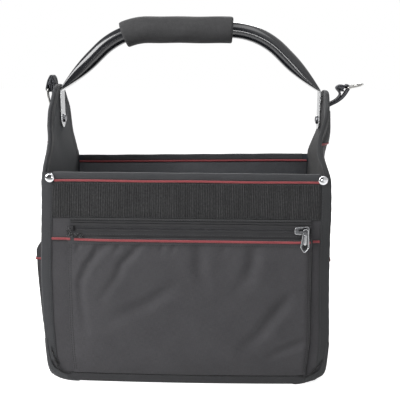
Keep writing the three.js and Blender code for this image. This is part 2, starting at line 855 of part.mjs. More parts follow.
// The puller hangs on one leg of the slider's bail and turns about it.
function buildPuller() {
  const eyeRadius = pullerEye / 2 + pullerNeck / 4;
  const belly = pullerLength - pullerWidth * pullerBelly;
  const neckRound = eyeRadius * pullerRounding.eye;
  const shoulderRound = pullerWidth * pullerRounding.shoulder;
  const outline = roundedShape([
    [-pullerNeck / 2, eyeRadius, neckRound],
    [pullerNeck / 2, eyeRadius, neckRound],
    [pullerWidth / 2, eyeRadius - belly, shoulderRound],
    [0, eyeRadius - pullerLength, pullerWidth * pullerRounding.tip],
    [-pullerWidth / 2, eyeRadius - belly, shoulderRound],
  ]);
  const plate = slab(outline, "y", 0, -pullerThickness);
  const eye = pin(new THREE.Vector3(), along.y, pullerEye, 4 * pullerThickness);
  const windowTop = eyeRadius - belly + pullerWindow.height / 2;
  const halfWindow = pullerWindow.width / 2;
  const window = slab(
    rectangle(-halfWindow, halfWindow, windowTop - pullerWindow.height, windowTop, halfWindow / 3),
    "y",
    -2 * pullerThickness,
    pullerThickness,
  );
  const mesh = addMesh("zip_puller", plate.subtract(eye).subtract(window), gunmetal);
  mesh.position.set(bailRight, -pullerBack, zipHeight);
  mesh.rotation.y = pullerTilt * degree;
}

// Pockets on the outside of each end: a flat sleeve on the tongue and a gusseted pocket below it

function buildSleeves() {
  for (const [sideName, side] of [["left", -1], ["right", 1]]) {
    const seat = endFace + clearance;
    const face = seat + sleeveCavity + clothThickness;
    const foot = gussetTop + tierGap;
    const bandFoot = sleeveTop - sleeveBandHeight;
    const cut = (bottom, top) => block([-bagWidth, bagWidth], [-bagDepth, bagDepth], [bottom, top]);
    const outline = (inset) => endOutline(-bindingWidth - clearance - inset, 0);
    const outer = endSlab(outline(0), side, seat, face).intersect(cut(foot, sleeveTop));
    const hollow = endSlab(outline(clothThickness), side, seat - 1, seat + sleeveCavity).intersect(
      cut(foot + clothThickness, sleeveTop + 1),
    );
    const band = endSlab(outline(0), side, face - clearance, face + webbingThickness / 2).intersect(
      cut(bandFoot, sleeveTop),
    );
    addMesh(`${sideName}_sleeve_pocket`, outer.subtract(hollow).add(band), cloth);
    const height = bandFoot - pipingWidth / 2 - clearance;
    const half = tongueHalfWidth(height + pipingWidth / 2, -bindingWidth - 2 * clearance);
    const strip = pipingProfile(side * (face + clearance), side, height);
    addMesh(`${sideName}_sleeve_piping`, acrossEnd(strip, half), piping);
  }
}

// A profile drawn in (x, height), run along the bag's depth.
const acrossEnd = (shape, half) => slab(shape, "y", -half, half);

function endPocketSolid(side, depth, wall, foot, top, seat) {
  const half = endPocketSpan - wall;
  const heights = [foot, ...spaced(foot, endPocketMouth, 3).slice(1), top];
  const sections = heights.map((z) => {
    const rise = Math.min((z - endPocketFoot) / (endPocketMouth - endPocketFoot), 1);
    const edge = mix(footDepth.edge, depth.edge, rise) - wall;
    const middle = mix(footDepth.middle, depth.middle, rise) - wall;
    const across = spaced(-1, 1, roundSides / 2).map((share) => {
      const out = edge + (middle - edge) * (1 - share * share);
      return new THREE.Vector3(side * (endFace + clearance + out), share * (half - clothThickness), z);
    });
    return [
      new THREE.Vector3(side * seat, -half, z),
      ...across,
      new THREE.Vector3(side * seat, half, z),
    ];
  });
  return loft(sections);
}

function buildEndPockets() {
  const pockets = [["left", -1, leftPocketDepth], ["right", 1, rightPocketDepth]];
  const seat = endFace + clearance;
  for (const [sideName, side, depth] of pockets) {
    const outer = endPocketSolid(side, depth, 0, endPocketFoot, gussetTop, seat);
    const hollow = endPocketSolid(
      side,
      depth,
      clothThickness,
      endPocketFoot + clothThickness,
      gussetTop + clearance,
      seat - clearance,
    );
    const far = endFace + bagDepth;
    const slope = gussetRise / depth.edge;
    const overMouth = roundedShape([
      [side * (seat - clearance), gussetTop + slope * clearance],
      [side * (seat + depth.edge), endPocketMouth],
      [side * far, endPocketMouth],
      [side * far, gussetTop + bagDepth],
      [side * (seat - clearance), gussetTop + bagDepth],
    ]);
    const shell = outer.subtract(hollow).subtract(acrossEnd(overMouth, bagDepth));
    addMesh(`${sideName}_end_pocket`, shell, cloth);
    const height = endPocketMouth - endPocketHem - pipingWidth / 2;
    addMesh(`${sideName}_pocket_piping`, pocketPiping(side, depth, height), piping);
  }
}

// Piping bowed round the outside of an end pocket below its hem.
function pocketPiping(side, depth, height) {
  const rise = (height + pipingWidth / 2 - endPocketFoot) / (endPocketMouth - endPocketFoot);
  const edge = mix(footDepth.edge, depth.edge, rise);
  const middle = mix(footDepth.middle, depth.middle, rise);
  const sections = spaced(-1, 1, roundSides / 2).map((share) => {
    const out = edge + (middle - edge) * (1 - share * share) + 2 * clearance;
    const x = endFace + clearance + out;
    const y = share * (endPocketSpan - clothThickness);
    const half = pipingWidth / 2;
    const proud = x + pipingProud * (1 - pipingLift);
    return [
      new THREE.Vector3(side * x, y, height - half),
      new THREE.Vector3(side * proud, y, height - half / 2),
      new THREE.Vector3(side * proud, y, height + half / 2),
      new THREE.Vector3(side * x, y, height + half),
    ];
  });
  return loft(sections);
}

// Handle: one steel tube, bent over the bag, its ends pressed flat into straps and riveted on

const strapPlace = strapOuterFace - strapThickness / 2;
const armReach = (handleHeight - handleKinkHeight) / Math.tan(armAngle * degree);
const strapTip = handleRivetHeight - strapReach;

const handlePath = roundCorners(
  new THREE.Path(),
  [
    [-strapPlace, strapTip],
    [-strapPlace, handleKinkHeight, handleKinkRadius],
    [-strapPlace + armReach, handleHeight, handleBendRadius],
    [strapPlace - armReach, handleHeight, handleBendRadius],
    [strapPlace, handleKinkHeight, handleKinkRadius],
    [strapPlace, strapTip],
  ],
  false,
);
const handleRun = handlePath.getLength();
const strapRun = handleKinkHeight - strapTip;

function handleFrame(distance) {
  const share = THREE.MathUtils.clamp(distance / handleRun, 0, 1);
  const place = handlePath.getPointAt(share);
  const heading = handlePath.getTangentAt(share);
  return {
    centre: new THREE.Vector3(place.x, 0, place.y),
    across: new THREE.Vector3(-heading.y, 0, heading.x),
  };
}

// The tube's section some way along: a full round, pressed flat towards each end.
function tubeSection(distance) {
  const fromEnd = Math.min(distance, handleRun - distance);
  const share = THREE.MathUtils.clamp((fromEnd - strapRun) / flattenLength, 0, 1);
  const roundness = Math.sin(share * 90 * degree);
  const thickness = mix(strapThickness, tubeDiameter, roundness);
  const fullWidth = mix(strapWidth, tubeDiameter, roundness);
  const endRadius = strapWidth / 2;
  const nearEnd = Math.max(endRadius - fromEnd, 0);
  const width = Math.min(fullWidth, 2 * Math.sqrt(endRadius ** 2 - nearEnd ** 2));
  const squareness = mix(strapSquareness, 2, roundness);
  const { centre, across } = handleFrame(distance);
  return spaced(0, 360 * degree, tubeSides).slice(1).map((turn) => {
    const c = Math.cos(turn);
    const s = Math.sin(turn);
    const u = Math.sign(c) * Math.abs(c) ** (2 / squareness) * (width / 2);
    const v = Math.sign(s) * Math.abs(s) ** (2 / squareness) * (thickness / 2);
    return centre.clone().addScaledVector(along.y, u).addScaledVector(across, v);
  });
}

function buildHandle() {
  const half = [
    ...spaced(strapFirstSection, strapWidth / 2, 5),
    ...spaced(strapWidth / 2, strapRun - handleKinkRadius, 2).slice(1),
    ...spaced(strapRun - handleKinkRadius, strapRun + handleKinkRadius, 6).slice(1),
    ...spaced(strapRun + handleKinkRadius, strapRun + flattenLength, 6).slice(1),
    ...spaced(strapRun + flattenLength, handleRun / 2, 11).slice(1),
  ];
  const stations = [...half, ...half.slice(0, -1).reverse().map((d) => handleRun - d)];
  const tube = loft(stations.map(tubeSection)).subtract(handleShankHoles);
  addMesh("handle_tube", tube, blackPaint);
}

function gripRing(distance, radius) {
  const { centre, across } = handleFrame(distance);
  return spaced(0, 360 * degree, roundSides).slice(1).map((turn) =>
    centre
      .clone()
      .addScaledVector(along.y, radius * Math.cos(turn))
      .addScaledVector(across, radius * Math.sin(turn)),
  );
}

function buildGrip() {
  const start = handleRun / 2 + gripShift - gripLength / 2;
  const end = start + gripLength;
  const radius = gripDiameter / 2;
  const rounding = spaced(0, 90 * degree, 3).slice(0, -1).map((turn) => [
    gripEndRounding * (1 - Math.sin(turn)),
    gripEndRounding * (1 - Math.cos(turn)),
  ]);
  const body = spaced(start + gripEndRounding, end - gripEndRounding, 8).map((d) => [d, radius]);
  const first = rounding.map(([drop, inward]) => [start + inward, radius - drop]);
  const last = rounding.map(([drop, inward]) => [end - inward, radius - drop]).reverse();
  const rings = [...first, ...body, ...last];
  const outer = loft(rings.map(([distance, r]) => gripRing(distance, r)));
  const boreRadius = tubeDiameter / 2 + 2 * clearance;
  const bore = loft(spaced(start - 1, end + 1, 10).map((distance) => gripRing(distance, boreRadius)));
  addMesh("foam_grip", outer.subtract(bore), foam);
}

// Rings: a bent wire D in the eye of a stiff webbing tab on the outside of each tongue

// A strip of webbing seen edge on: its middle line as points [x, height], given a thickness.
function webbingStrip(points, thickness) {
  const curve = new THREE.SplineCurve(points.map(([x, z]) => new THREE.Vector2(x, z)));
  const steps = spaced(0, 1, 4 * (points.length - 1));
  const offset = (share, sign) => {
    const heading = curve.getTangent(share);
    const place = curve.getPoint(share);
    const out = (sign * thickness) / 2;
    return new THREE.Vector2(place.x - heading.y * out, place.y + heading.x * out);
  };
  const there = steps.map((share) => offset(share, 1));
  const back = steps.map((share) => offset(share, -1)).reverse();
  return acrossEnd(new THREE.Shape([...there, ...back]), tabWidth / 2);
}

function tabSolid(side, routes, eye) {
  const centre = new THREE.Vector3(side * (endFace + eye.out), 0, tongueTop + eye.rise);
  const hole = ringWire + 2 * clearance;
  const eyeRing = pin(centre, along.y, hole + 2 * tabEyeWall, tabWidth);
  const strips = routes.map(({ points, thickness }) => {
    const placed = points.map(([out, rise]) => [side * (endFace + out), tongueTop + rise]);
    return webbingStrip(placed, thickness);
  });
  const seat = bindingFace + clearance;
  const root = block(
    [side * (endFace + seat), side * (endFace + seat + tabThickness)].sort((a, b) => a - b),
    [-tabWidth / 2, tabWidth / 2],
    [tongueTop - tabRootDrop - tabRootHeight, tongueTop - tabRootDrop],
  );
  const bore = pin(centre, along.y, hole, tabWidth * 2);
  return joinAll([root, ...strips, eyeRing]).subtract(bore);
}

function ringSolid() {
  const half = (tabWidth + ringEase + ringWire) / 2;
  const outline = roundedShape([
    [-half, 0, ringCornerRadius],
    [half, 0, ringCornerRadius],
    [half, ringDepth, half * ringRoundness],
    [-half, ringDepth, half * ringRoundness],
  ]);
  const points = outline.getSpacedPoints(ringSteps).slice(0, -1);
  const sections = points.map((point, i) => {
    const next = points[(i + 1) % points.length];
    const before = points[(i + points.length - 1) % points.length];
    const heading = next.clone().sub(before).normalize();
    const normal = new THREE.Vector3(0, -heading.y, heading.x);
    return spaced(0, 360 * degree, wireSides).slice(1).map((turn) =>
      new THREE.Vector3(0, point.x, point.y)
        .addScaledVector(normal, (ringWire / 2) * Math.cos(turn))
        .addScaledVector(along.x, (ringWire / 2) * Math.sin(turn)),
    );
  });
  return loft(sections, true);
}

function buildRings() {
  const root = bindingFace + clearance + tabThickness / 2;
  const foot = -tabRootDrop - tabRootHeight;
  const overTop = [
    [root, -tabRootDrop - tabThickness],
    [root, 3],
    [3.9, 8.5],
    [5, 12.8],
    [6.9, 15.1],
    [8.9, 12.3],
    [10.9, 7],
    [leftEye.out + 1.7, leftEye.rise + 2.5],
  ];
  const outward = [
    [root, foot + doubledTab],
    [8.5, foot + 5.5],
    [18.5, foot + 10.5],
    [25.6, foot + 15.5],
    [30.4, rightEye.rise - 8.8],
    [rightEye.out + 0.8, rightEye.rise - 2.5],
  ];
  const overRing = [
    [rightEye.out - 1.5, rightEye.rise + 2.6],
    [23.8, 4.2],
    [19.9, 2.9],
    [17.8, 0.3],
    [20.6, -2.9],
    [23.5, -6.8],
    [22.9, -10.6],
    [18, -16],
    [8.5, foot + 8],
  ];
  const rolledEnd = [
    [20.4, 0.3],
    [rightEye.out - 2.5, 0],
  ];
  const leftRoutes = [{ points: overTop, thickness: tabThickness }];
  const rightRoutes = [
    { points: outward, thickness: doubledTab },
    { points: overRing, thickness: singleTab },
    { points: rolledEnd, thickness: tabRoll },
  ];
  const rings = [
    ["left", -1, leftRoutes, leftEye],
    ["right", 1, rightRoutes, rightEye],
  ];
  for (const [sideName, side, routes, eye] of rings) {
    addMesh(`${sideName}_ring_tab`, tabSolid(side, routes, eye), webbing);
    const mesh = addMesh(`${sideName}_d_ring`, ringSolid(), chrome);
    mesh.position.set(side * (endFace + eye.out), 0, tongueTop + eye.rise);
    mesh.rotation.y = side * (90 - eye.ringAngle) * degree;
  }
}

buildBase();
buildCornerPatches();
buildLongWalls();
buildEnds();
buildRivets();
buildLongTrim();
buildInnerPocket();
buildFrontPocket();
buildZip();
buildSlider();
buildPuller();
buildSleeves();
buildEndPockets();
buildHandle();
buildGrip();
buildRings();

export default bag;
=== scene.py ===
import math

import bpy
import numpy as np
from mathutils import Matrix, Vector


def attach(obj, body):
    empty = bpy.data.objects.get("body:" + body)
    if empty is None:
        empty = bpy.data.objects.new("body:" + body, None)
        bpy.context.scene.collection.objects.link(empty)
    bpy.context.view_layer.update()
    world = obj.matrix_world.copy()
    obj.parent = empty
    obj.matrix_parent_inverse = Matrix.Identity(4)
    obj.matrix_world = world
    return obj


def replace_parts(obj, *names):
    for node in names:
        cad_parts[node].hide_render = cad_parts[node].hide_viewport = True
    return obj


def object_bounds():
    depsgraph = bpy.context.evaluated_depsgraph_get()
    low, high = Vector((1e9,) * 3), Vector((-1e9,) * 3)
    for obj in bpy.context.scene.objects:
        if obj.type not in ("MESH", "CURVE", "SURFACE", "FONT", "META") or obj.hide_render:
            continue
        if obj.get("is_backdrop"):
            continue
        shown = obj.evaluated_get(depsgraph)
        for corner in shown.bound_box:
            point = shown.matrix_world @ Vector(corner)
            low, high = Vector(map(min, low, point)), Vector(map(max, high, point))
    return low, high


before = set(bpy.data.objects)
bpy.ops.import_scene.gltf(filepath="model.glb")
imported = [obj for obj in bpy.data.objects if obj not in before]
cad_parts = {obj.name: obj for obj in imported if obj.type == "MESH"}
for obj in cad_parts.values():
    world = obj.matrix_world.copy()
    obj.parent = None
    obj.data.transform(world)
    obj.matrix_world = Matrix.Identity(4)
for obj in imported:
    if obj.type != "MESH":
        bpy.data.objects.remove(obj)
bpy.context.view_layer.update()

# Base: a tray of heavy cloth wrapped up round the foot of the walls, hemmed along its top edge.
# Inside it lies a stiff board covered in lining cloth, which is the floor of the bag.

MM = 0.001
half_long = 190.5
half_deep = 100.0
rim = 297.0
wrap_height = 13.0
corner_reach = 38.0
corner_power = 2.5
base_corner = 24.0
sharp_corner = 1.5
crease_angle = math.radians(42)


def ramp(low, high, value):
    """Rises smoothly from 0 at low to 1 at high."""
    t = np.clip((np.asarray(value, float) - low) / (high - low), 0, 1)
    return t * t * (3 - 2 * t)


def heights_table(*pairs):
    heights, values = zip(*pairs)
    return lambda z: np.interp(z, heights, values)


# How far out each end of the bag stands, at heights up from the floor: the right end's flare, and
# the lean of the left front edge, the right front edge and the right back edge.
right_flare = heights_table((0, 0.5), (26, 2), (62, 5), (80, 4.7), (115, 3), (166, 1.2), (216, 0))
left_lean = heights_table((285, 0), (297, -1.6), (321, -2.6), (335, -2), (355, 0.4), (406, 0.5))
right_front_lean = heights_table(
    (240, 0), (266, -1.2), (290, -2.8), (301, -6), (309, -9), (317, -12.5), (325, -13), (337, -11.5),
    (355, -7), (370, -2.5), (383, 0.7), (406, 3.5),
)
right_back_lean = heights_table((310, 0), (330, 3.4), (343, 7), (365, 6), (383, 5), (406, 3.5))
edge_reach = heights_table((297, 92), (337, 66), (375, 53), (395, 38), (406, 20))
back_rim_tilt = heights_table((-190, -2.8), (-150, -2.8), (150, 2), (190, 2))
strap_pivot = 361.0
left_bulge = heights_table((60, 0), (85, 1.3), (160, 1.3), (190, 0))


def settle(points):
    """Where the drawn cloth comes to rest: bellied by what it carries, leaning and twisted."""
    x, y, z = points[..., 0], points[..., 1], points[..., 2]
    side = np.sign(x)
    face = np.sign(y)
    wide = np.abs(x)
    left_flare = 5.0 * (1 - ramp(165, 296, z)) * (0.3 + 0.7 * ramp(0, 60, z)) + left_bulge(z)
    flare = np.where(side < 0, left_flare, right_flare(z))
    end_belly = 2.0 * (1 - (y / 101) ** 2) * ramp(10, 90, z) * (1 - ramp(200, 290, z))
    sideways = side * (flare * ramp(40, 190, wide) + end_belly * ramp(150, 190, wide))
    on_front = ramp(60, 95, -y)
    on_back = ramp(60, 95, y)
    crown = 1 - (np.clip(wide, 0, 190) / 190) ** 2
    foot_crown = np.clip(1 - ((x + 20) / 175) ** 2, 0, 1)
    front_belly = 2.0 * crown * ramp(8, 60, z) * (1 - ramp(135, 192, z))
    front_belly = front_belly + 3.6 * foot_crown * (1 - ramp(20, 140, z))
    back_belly = 3.6 * crown * ramp(8, 70, z) * (1 - ramp(200, 285, z))
    waves = np.sin(x / 31 + 0.6) * np.sin(z / 47 + 1.1) + 0.6 * np.sin(x / 17 + z / 29 + 2)
    calm = 1 - 0.8 * ramp(175, 200, z) * on_front
    waves = 0.45 * waves * ramp(5, 40, z) * (1 - ramp(270, 290, z)) * calm
    forward = face * (front_belly * on_front + back_belly * on_back)
    drawn_in = 2.8 * ramp(162, 192, x) * on_front * ramp(30, 70, z) * (1 - ramp(225, 285, z))
    forward = forward + face * (waves * (on_front + on_back) - drawn_in)
    end_waves = 0.6 * np.sin(y / 21 + 1.3 * side) * np.sin(z / 39 + 0.4)
    sideways = sideways + end_waves * ramp(150, 190, wide) * ramp(8, 50, z) * (1 - ramp(250, 290, z))
    clear_of_strap = ramp(40, 66, np.hypot(y, z - strap_pivot))
    to_front = np.clip(-y / edge_reach(z), 0, 1) * clear_of_strap
    to_back = np.clip(y / edge_reach(z), 0, 1)
    crown_lean = 3.5 * ramp(372, 406, z)
    right_twist = to_front * (right_front_lean(z) - crown_lean) + to_back * (right_back_lean(z) - crown_lean)
    lean = np.where(side < 0, -left_lean(z) * to_front, crown_lean + right_twist)
    lean = lean * ramp(168, 186, wide)
    corner = np.where(side < 0, 4.0 * ramp(155, 190, wide), 8.0 * ramp(150, 190, wide))
    lift = corner * ramp(60, 96, np.abs(y)) * (1 - ramp(0, 34, z))
    tilt = back_rim_tilt(x) * on_back * ramp(250, 290, z) * (1 - ramp(300, 335, z))
    crown_lift = np.where(side < 0, 2.0, -4.5) * ramp(375, 406, z) * ramp(168, 186, wide)
    return np.stack([x + sideways + lean, y + forward, z + lift + tilt + crown_lift], axis=-1)


def corner_rounding(height):
    left = np.clip(1 - np.asarray(height, float) / corner_reach, 0, 1)
    reach = (1 - left**corner_power) ** (1 / corner_power)
    return np.clip(corner_reach * (1 - reach), sharp_corner, base_corner)


def skin(across, height, outset, face_half, side_half):
    """How far out a face of the bag stands, drawn in where its upright corners round off."""
    radius = np.maximum(corner_rounding(height) + outset, sharp_corner / 2)
    t = np.clip((np.abs(across) - (side_half + outset - radius)) / radius, 0, 1)
    return face_half + outset - radius * (1 - (1 - t**corner_power) ** (1 / corner_power))


def plan_ring(outset, height, arc_steps=8, run_steps=40):
    """The bag's outline seen from above, at a height, as a closed run of points."""
    radius = max(float(corner_rounding(height)) + outset, sharp_corner / 2)
    turns = np.linspace(0, math.pi / 2, arc_steps)
    along = np.cos(turns) ** (2 / corner_power)
    out = np.sin(turns) ** (2 / corner_power)
    arc_x = half_long + outset - radius * (1 - along)
    arc_y = half_deep + outset - radius * (1 - out)
    run_x = np.linspace(arc_x[-1], -arc_x[-1], run_steps + 2)[1:-1]
    run_y = np.linspace(arc_y[0], -arc_y[0], run_steps // 2 + 2)[1:-1]
    xs = [arc_x, run_x, -arc_x[::-1], np.full(len(run_y), -arc_x[0])]
    ys = [arc_y, np.full(len(run_x), arc_y[-1]), arc_y[::-1], run_y]
    first_x = np.concatenate(xs)
    first_y = np.concatenate(ys)
    whole_x = np.concatenate([first_x, -first_x])
    whole_y = np.concatenate([first_y, -first_y])
    return np.stack([whole_x, whole_y, np.full(len(whole_x), float(height))], axis=-1)


def tint(red, green, blue):
    """A colour as the eye reads it, 0 to 255, as the light it sends back."""
    shares = [value / 255 for value in (red, green, blue)]
    linear = [s / 12.92 if s <= 0.04045 else ((s + 0.055) / 1.055) ** 2.4 for s in shares]
    return (*linear, 1.0)


class Wire:
    """One output in a material's node tree. Sums and products of wires add Math nodes."""

    def __init__(self, tree, socket):
        self.tree = tree
        self.socket = socket

    @staticmethod
    def node(tree, kind, settings, sockets, output=0):
        made = tree.nodes.new(kind)
        for key, value in settings.items():
            if key == "stops":
                for stop, (place, colour) in zip(made.color_ramp.elements, value):
                    stop.position = place
                    stop.color = colour
            else:
                setattr(made, key, value)
        for key, value in sockets.items():
            if isinstance(value, Wire):
                tree.links.new(value.socket, made.inputs[key])
            else:
                made.inputs[key].default_value = value
        return Wire(tree, made.outputs[output])

    def math(self, operation, first, second=0.0):
        return Wire.node(self.tree, "ShaderNodeMath", {"operation": operation}, {0: first, 1: second})

    def __add__(self, other):
        return self.math("ADD", self, other)

    def __radd__(self, other):
        return self.math("ADD", other, self)

    def __sub__(self, other):
        return self.math("SUBTRACT", self, other)

    def __rsub__(self, other):
        return self.math("SUBTRACT", other, self)

    def __mul__(self, other):
        return self.math("MULTIPLY", self, other)

    def __rmul__(self, other):
        return self.math("MULTIPLY", other, self)

    def __truediv__(self, other):
        return self.math("DIVIDE", self, other)

    def __pow__(self, other):
        return self.math("POWER", self, other)


def part_of(vector, axis):
    return Wire.node(vector.tree, "ShaderNodeSeparateXYZ", {}, {0: vector}, axis)


def wave(value, kind="SINE"):
    return value.math(kind, value)


def start_finish(name):
    """A new material with its shader, and the place on the cloth in millimetres: along, across."""
    finish = bpy.data.materials.new(name)
    finish.use_nodes = True
    tree = finish.node_tree
    shader = tree.nodes["Principled BSDF"]
    lay = Wire.node(tree, "ShaderNodeAttribute", {"attribute_name": "lay"}, {}, "Vector")
    return finish, tree, shader, lay, part_of(lay, "X"), part_of(lay, "Y")


def cloud(tree, place, scale, stretch=(1, 1, 1), detail=3.0):
    """Soft noise about 0.5, so many cells to the millimetre."""
    spread = Wire.node(
        tree, "ShaderNodeVectorMath", {"operation": "MULTIPLY"}, {0: place, 1: stretch}
    )
    return Wire.node(
        tree,
        "ShaderNodeTexNoise",
        {},
        {"Vector": spread, "Scale": scale, "Detail": detail, "Roughness": 0.6},
    )


def blend_colours(tree, share, dark, light):
    return Wire.node(
        tree,
        "ShaderNodeMix",
        {"data_type": "RGBA", "clamp_factor": True},
        {0: share, 6: dark, 7: light},
        2,
    )


def plug(tree, shader, **sockets):
    for name, value in sockets.items():
        target = shader.inputs[name.replace("_", " ")]
        if isinstance(value, Wire):
            tree.links.new(value.socket, target)
        else:
            target.default_value = value


def bump(tree, height, depth, strength=1.0):
    return Wire.node(
        tree,
        "ShaderNodeBump",
        {},
        {"Height": height, "Distance": depth * MM, "Strength": strength},
        "Normal",
    )


def woven(name, dark, light, thread, relief=0.12, sheen=0.12, rough=0.86, slub=0.35, fade=0.0):
    """Plain-woven cloth: threads over and under each other, slubs, and paler dusty patches."""
    finish, tree, shader, lay, along, across = start_finish(name)
    turn = math.pi / thread
    over = wave(along * turn) * wave(across * turn)
    height = 0.5 + 0.5 * over
    warp_slub = cloud(tree, lay, 1.0, (1.6, 0.16, 1))
    weft_slub = cloud(tree, lay, 1.0, (0.16, 1.6, 1))
    dust = cloud(tree, lay, 0.022, (1, 1, 1), 4.0)
    share = 0.5 + slub * (warp_slub + weft_slub - 1) + 0.5 * (dust - 0.5) + 0.10 * over
    # fade tilts the tone steadily along the cloth, a painted shade ramp
    if fade:
        share = share + fade * along
    worn = height * 0.7 + warp_slub * 0.5 + weft_slub * 0.5
    plug(
        tree,
        shader,
        Base_Color=blend_colours(tree, share, dark, light),
        Roughness=rough - 0.12 * (dust - 0.5),
        Normal=bump(tree, worn, relief),
        Sheen_Weight=sheen,
        Sheen_Roughness=0.45,
        Specular_IOR_Level=0.35,
    )
    return finish


def lay_of(grid):
    """Distances over a sheet of points from its middle column and its first row."""
    widths = np.linalg.norm(np.diff(grid, axis=1), axis=-1)
    run = np.concatenate([np.zeros((len(grid), 1)), np.cumsum(widths, axis=1)], axis=1)
    run = run - run[:, run.shape[1] // 2][:, None]
    rises = np.linalg.norm(np.diff(grid, axis=0), axis=-1).mean(axis=1)
    rise = np.concatenate([[0.0], np.cumsum(rises)])
    rise = np.repeat(rise[:, None], grid.shape[1], axis=1)
    return np.stack([run, rise, np.zeros_like(run)], axis=-1)


def circle_turns(count):
    return np.arange(count) * 2 * math.pi / count


def make_piece(name, points, faces, lay, finish, slot, body="bag"):
    """A closed mesh of points in millimetres, its faces turned outward, riding on a body."""
    corner = points[[face[0] for face in faces]]
    second = points[[face[1] for face in faces]]
    third = points[[face[2] for face in faces]]
    volume = np.einsum("ij,ij->i", corner, np.cross(second, third)).sum()
    if len(faces[0]) == 4:
        fourth = points[[face[-1] for face in faces]]
        volume += np.einsum("ij,ij->i", corner, np.cross(third, fourth)).sum()
    if volume < 0:
        faces = [face[::-1] for face in faces]
    mesh = bpy.data.meshes.new(name)
    mesh.from_pydata((points * MM).tolist(), [], faces)
    layer = mesh.attributes.new("lay", "FLOAT_VECTOR", "POINT")
    layer.data.foreach_set("vector", np.asarray(lay, float).ravel())
    mesh.shade_smooth()
    mesh.set_sharp_from_angle(angle=crease_angle)
    mesh.materials.append(finish)
    piece = bpy.data.objects.new(name, mesh)
    bpy.context.collection.objects.link(piece)
    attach(piece, body)
    return piece


def grid_faces(rows, columns, start=0, closed_columns=False, closed_rows=False):
    last_column = columns if closed_columns else columns - 1
    last_row = rows if closed_rows else rows - 1
    faces = []
    for i in range(last_row):
        here = start + i * columns
        above = start + ((i + 1) % rows) * columns
        for j in range(last_column):
            k = (j + 1) % columns
            faces.append([here + j, here + k, above + k, above + j])
    return faces


def sheet_mesh(front, back):
    """Two like sheets of points joined along their four edges into one closed skin."""
    rows, columns = front.shape[:2]
    count = rows * columns
    points = np.concatenate([front.reshape(-1, 3), back.reshape(-1, 3)])
    faces = grid_faces(rows, columns)
    faces += [face[::-1] for face in grid_faces(rows, columns, count)]
    ring = list(range(columns))
    ring += [columns * (i + 1) - 1 for i in range(1, rows)]
    ring += [count - 1 - j for j in range(1, columns)]
    ring += [columns * i for i in range(rows - 2, 0, -1)]
    for one, two in zip(ring, ring[1:] + ring[:1]):
        faces.append([two, one, one + count, two + count])
    lay = lay_of(front).reshape(-1, 3)
    return points, faces, np.concatenate([lay, lay])


def sheet_piece(name, front, back, finish, slot, body="bag"):
    return make_piece(name, *sheet_mesh(front, back), finish, slot, body)


def run_mesh(rings, closed=False):
    """Closed rings of points skinned into a tube, its two ends capped or joined to each other."""
    rings = np.asarray(rings, float)
    count, around = rings.shape[:2]
    faces = grid_faces(count, around, 0, True, closed)
    points = rings.reshape(-1, 3)
    middle = rings.mean(axis=1)
    steps = np.linalg.norm(np.diff(middle, axis=0), axis=-1)
    run = np.concatenate([[0.0], np.cumsum(steps)])
    girth = np.linalg.norm(np.diff(rings, axis=1), axis=-1)
    turn = np.concatenate([np.zeros((count, 1)), np.cumsum(girth, axis=1)], axis=1)
    lay = np.stack([np.repeat(run[:, None], around, axis=1), turn, 0 * turn], axis=-1).reshape(-1, 3)
    if not closed:
        points = np.concatenate([points, middle[:1], middle[-1:]])
        lay = np.concatenate([lay, [[0, 0, 0], [run[-1], 0, 0]]])
        first, last = count * around, count * around + 1
        top = (count - 1) * around
        for j in range(around):
            k = (j + 1) % around
            faces.append([first, k, j])
            faces.append([last, top + j, top + k])
    return points, faces, lay


def run_piece(name, rings, finish, slot, body="bag", closed=False):
    points, faces, lay = run_mesh(rings, closed)
    return make_piece(name, points, faces, lay, finish, slot, body)


base_cloth_finish = woven("base_cloth", tint(39, 39, 41), tint(62, 62, 64), 0.62, 0.16, slub=0.9)
lining_finish = woven("lining_cloth", tint(38, 42, 47), tint(62, 67, 75), 0.5, 0.08, 0.1, 0.8)
# painted shade: the insides of the two tongues are the same lining drawn darker than the walls' lining, the
# right one the darkest
shaded_left_lining = woven("left_lining_cloth", tint(26, 29, 33), tint(44, 48, 54), 0.5, 0.08, 0.1, 0.8)
shaded_right_lining = woven("right_lining_cloth", tint(14, 14, 16), tint(28, 28, 30), 0.5, 0.08, 0.1, 0.8)

wrap_outset = 1.7
wrap_levels = [
    (-0.9, wrap_height - 6),
    (0.35, wrap_height - 1),
    (0.5, wrap_height + 0.2),
    (1.1, wrap_height + 0.6),
    (wrap_outset, wrap_height),
    (wrap_outset + 0.25, wrap_height - 1.6),
    (wrap_outset, wrap_height - 3.2),
    (wrap_outset, 6),
    (wrap_outset - 0.1, 3),
    (wrap_outset - 0.8, 1.2),
    (wrap_outset - 2.4, 0.2),
    (-8, 0),
    (-40, 0.3),
]
wrap_rings = [plan_ring(outset, height) for outset, height in wrap_levels[:-1]]
under_ring = wrap_rings[-1] * [0.6, 0.4, 1] + [0, 0, 0.3]
floor_ring = wrap_rings[0] * [1, 1, 0] + [0, 0, 1.9]
wrap_rings = [floor_ring * [0.6, 0.4, 1], floor_ring * [0.985, 0.97, 1], *wrap_rings, under_ring]
wrap_rings = settle(np.array(wrap_rings))
base_wrap = run_piece("base_wrap", wrap_rings, base_cloth_finish, "cloth")
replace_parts(base_wrap, "base_cloth")

floor_levels = [(-9, 2.1), (-5.2, 2.4), (-4.9, 3.6), (-5.3, 4.8), (-9, 5.0)]
floor_rings = [plan_ring(outset, height) for outset, height in floor_levels]
floor_rings = [floor_rings[0] * [0.5, 0.3, 1], *floor_rings, floor_rings[-1] * [0.5, 0.3, 1]]
floor_pad = run_piece("floor_pad", np.array(floor_rings), lining_finish, "board")
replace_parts(floor_pad, "base_board")

# Long walls: outer cloth, stiffening board and lining, sewn up as one. The cloth is a plain weave
# of thick polyester yarn, dusty and heathered, and the boards keep the walls upright.

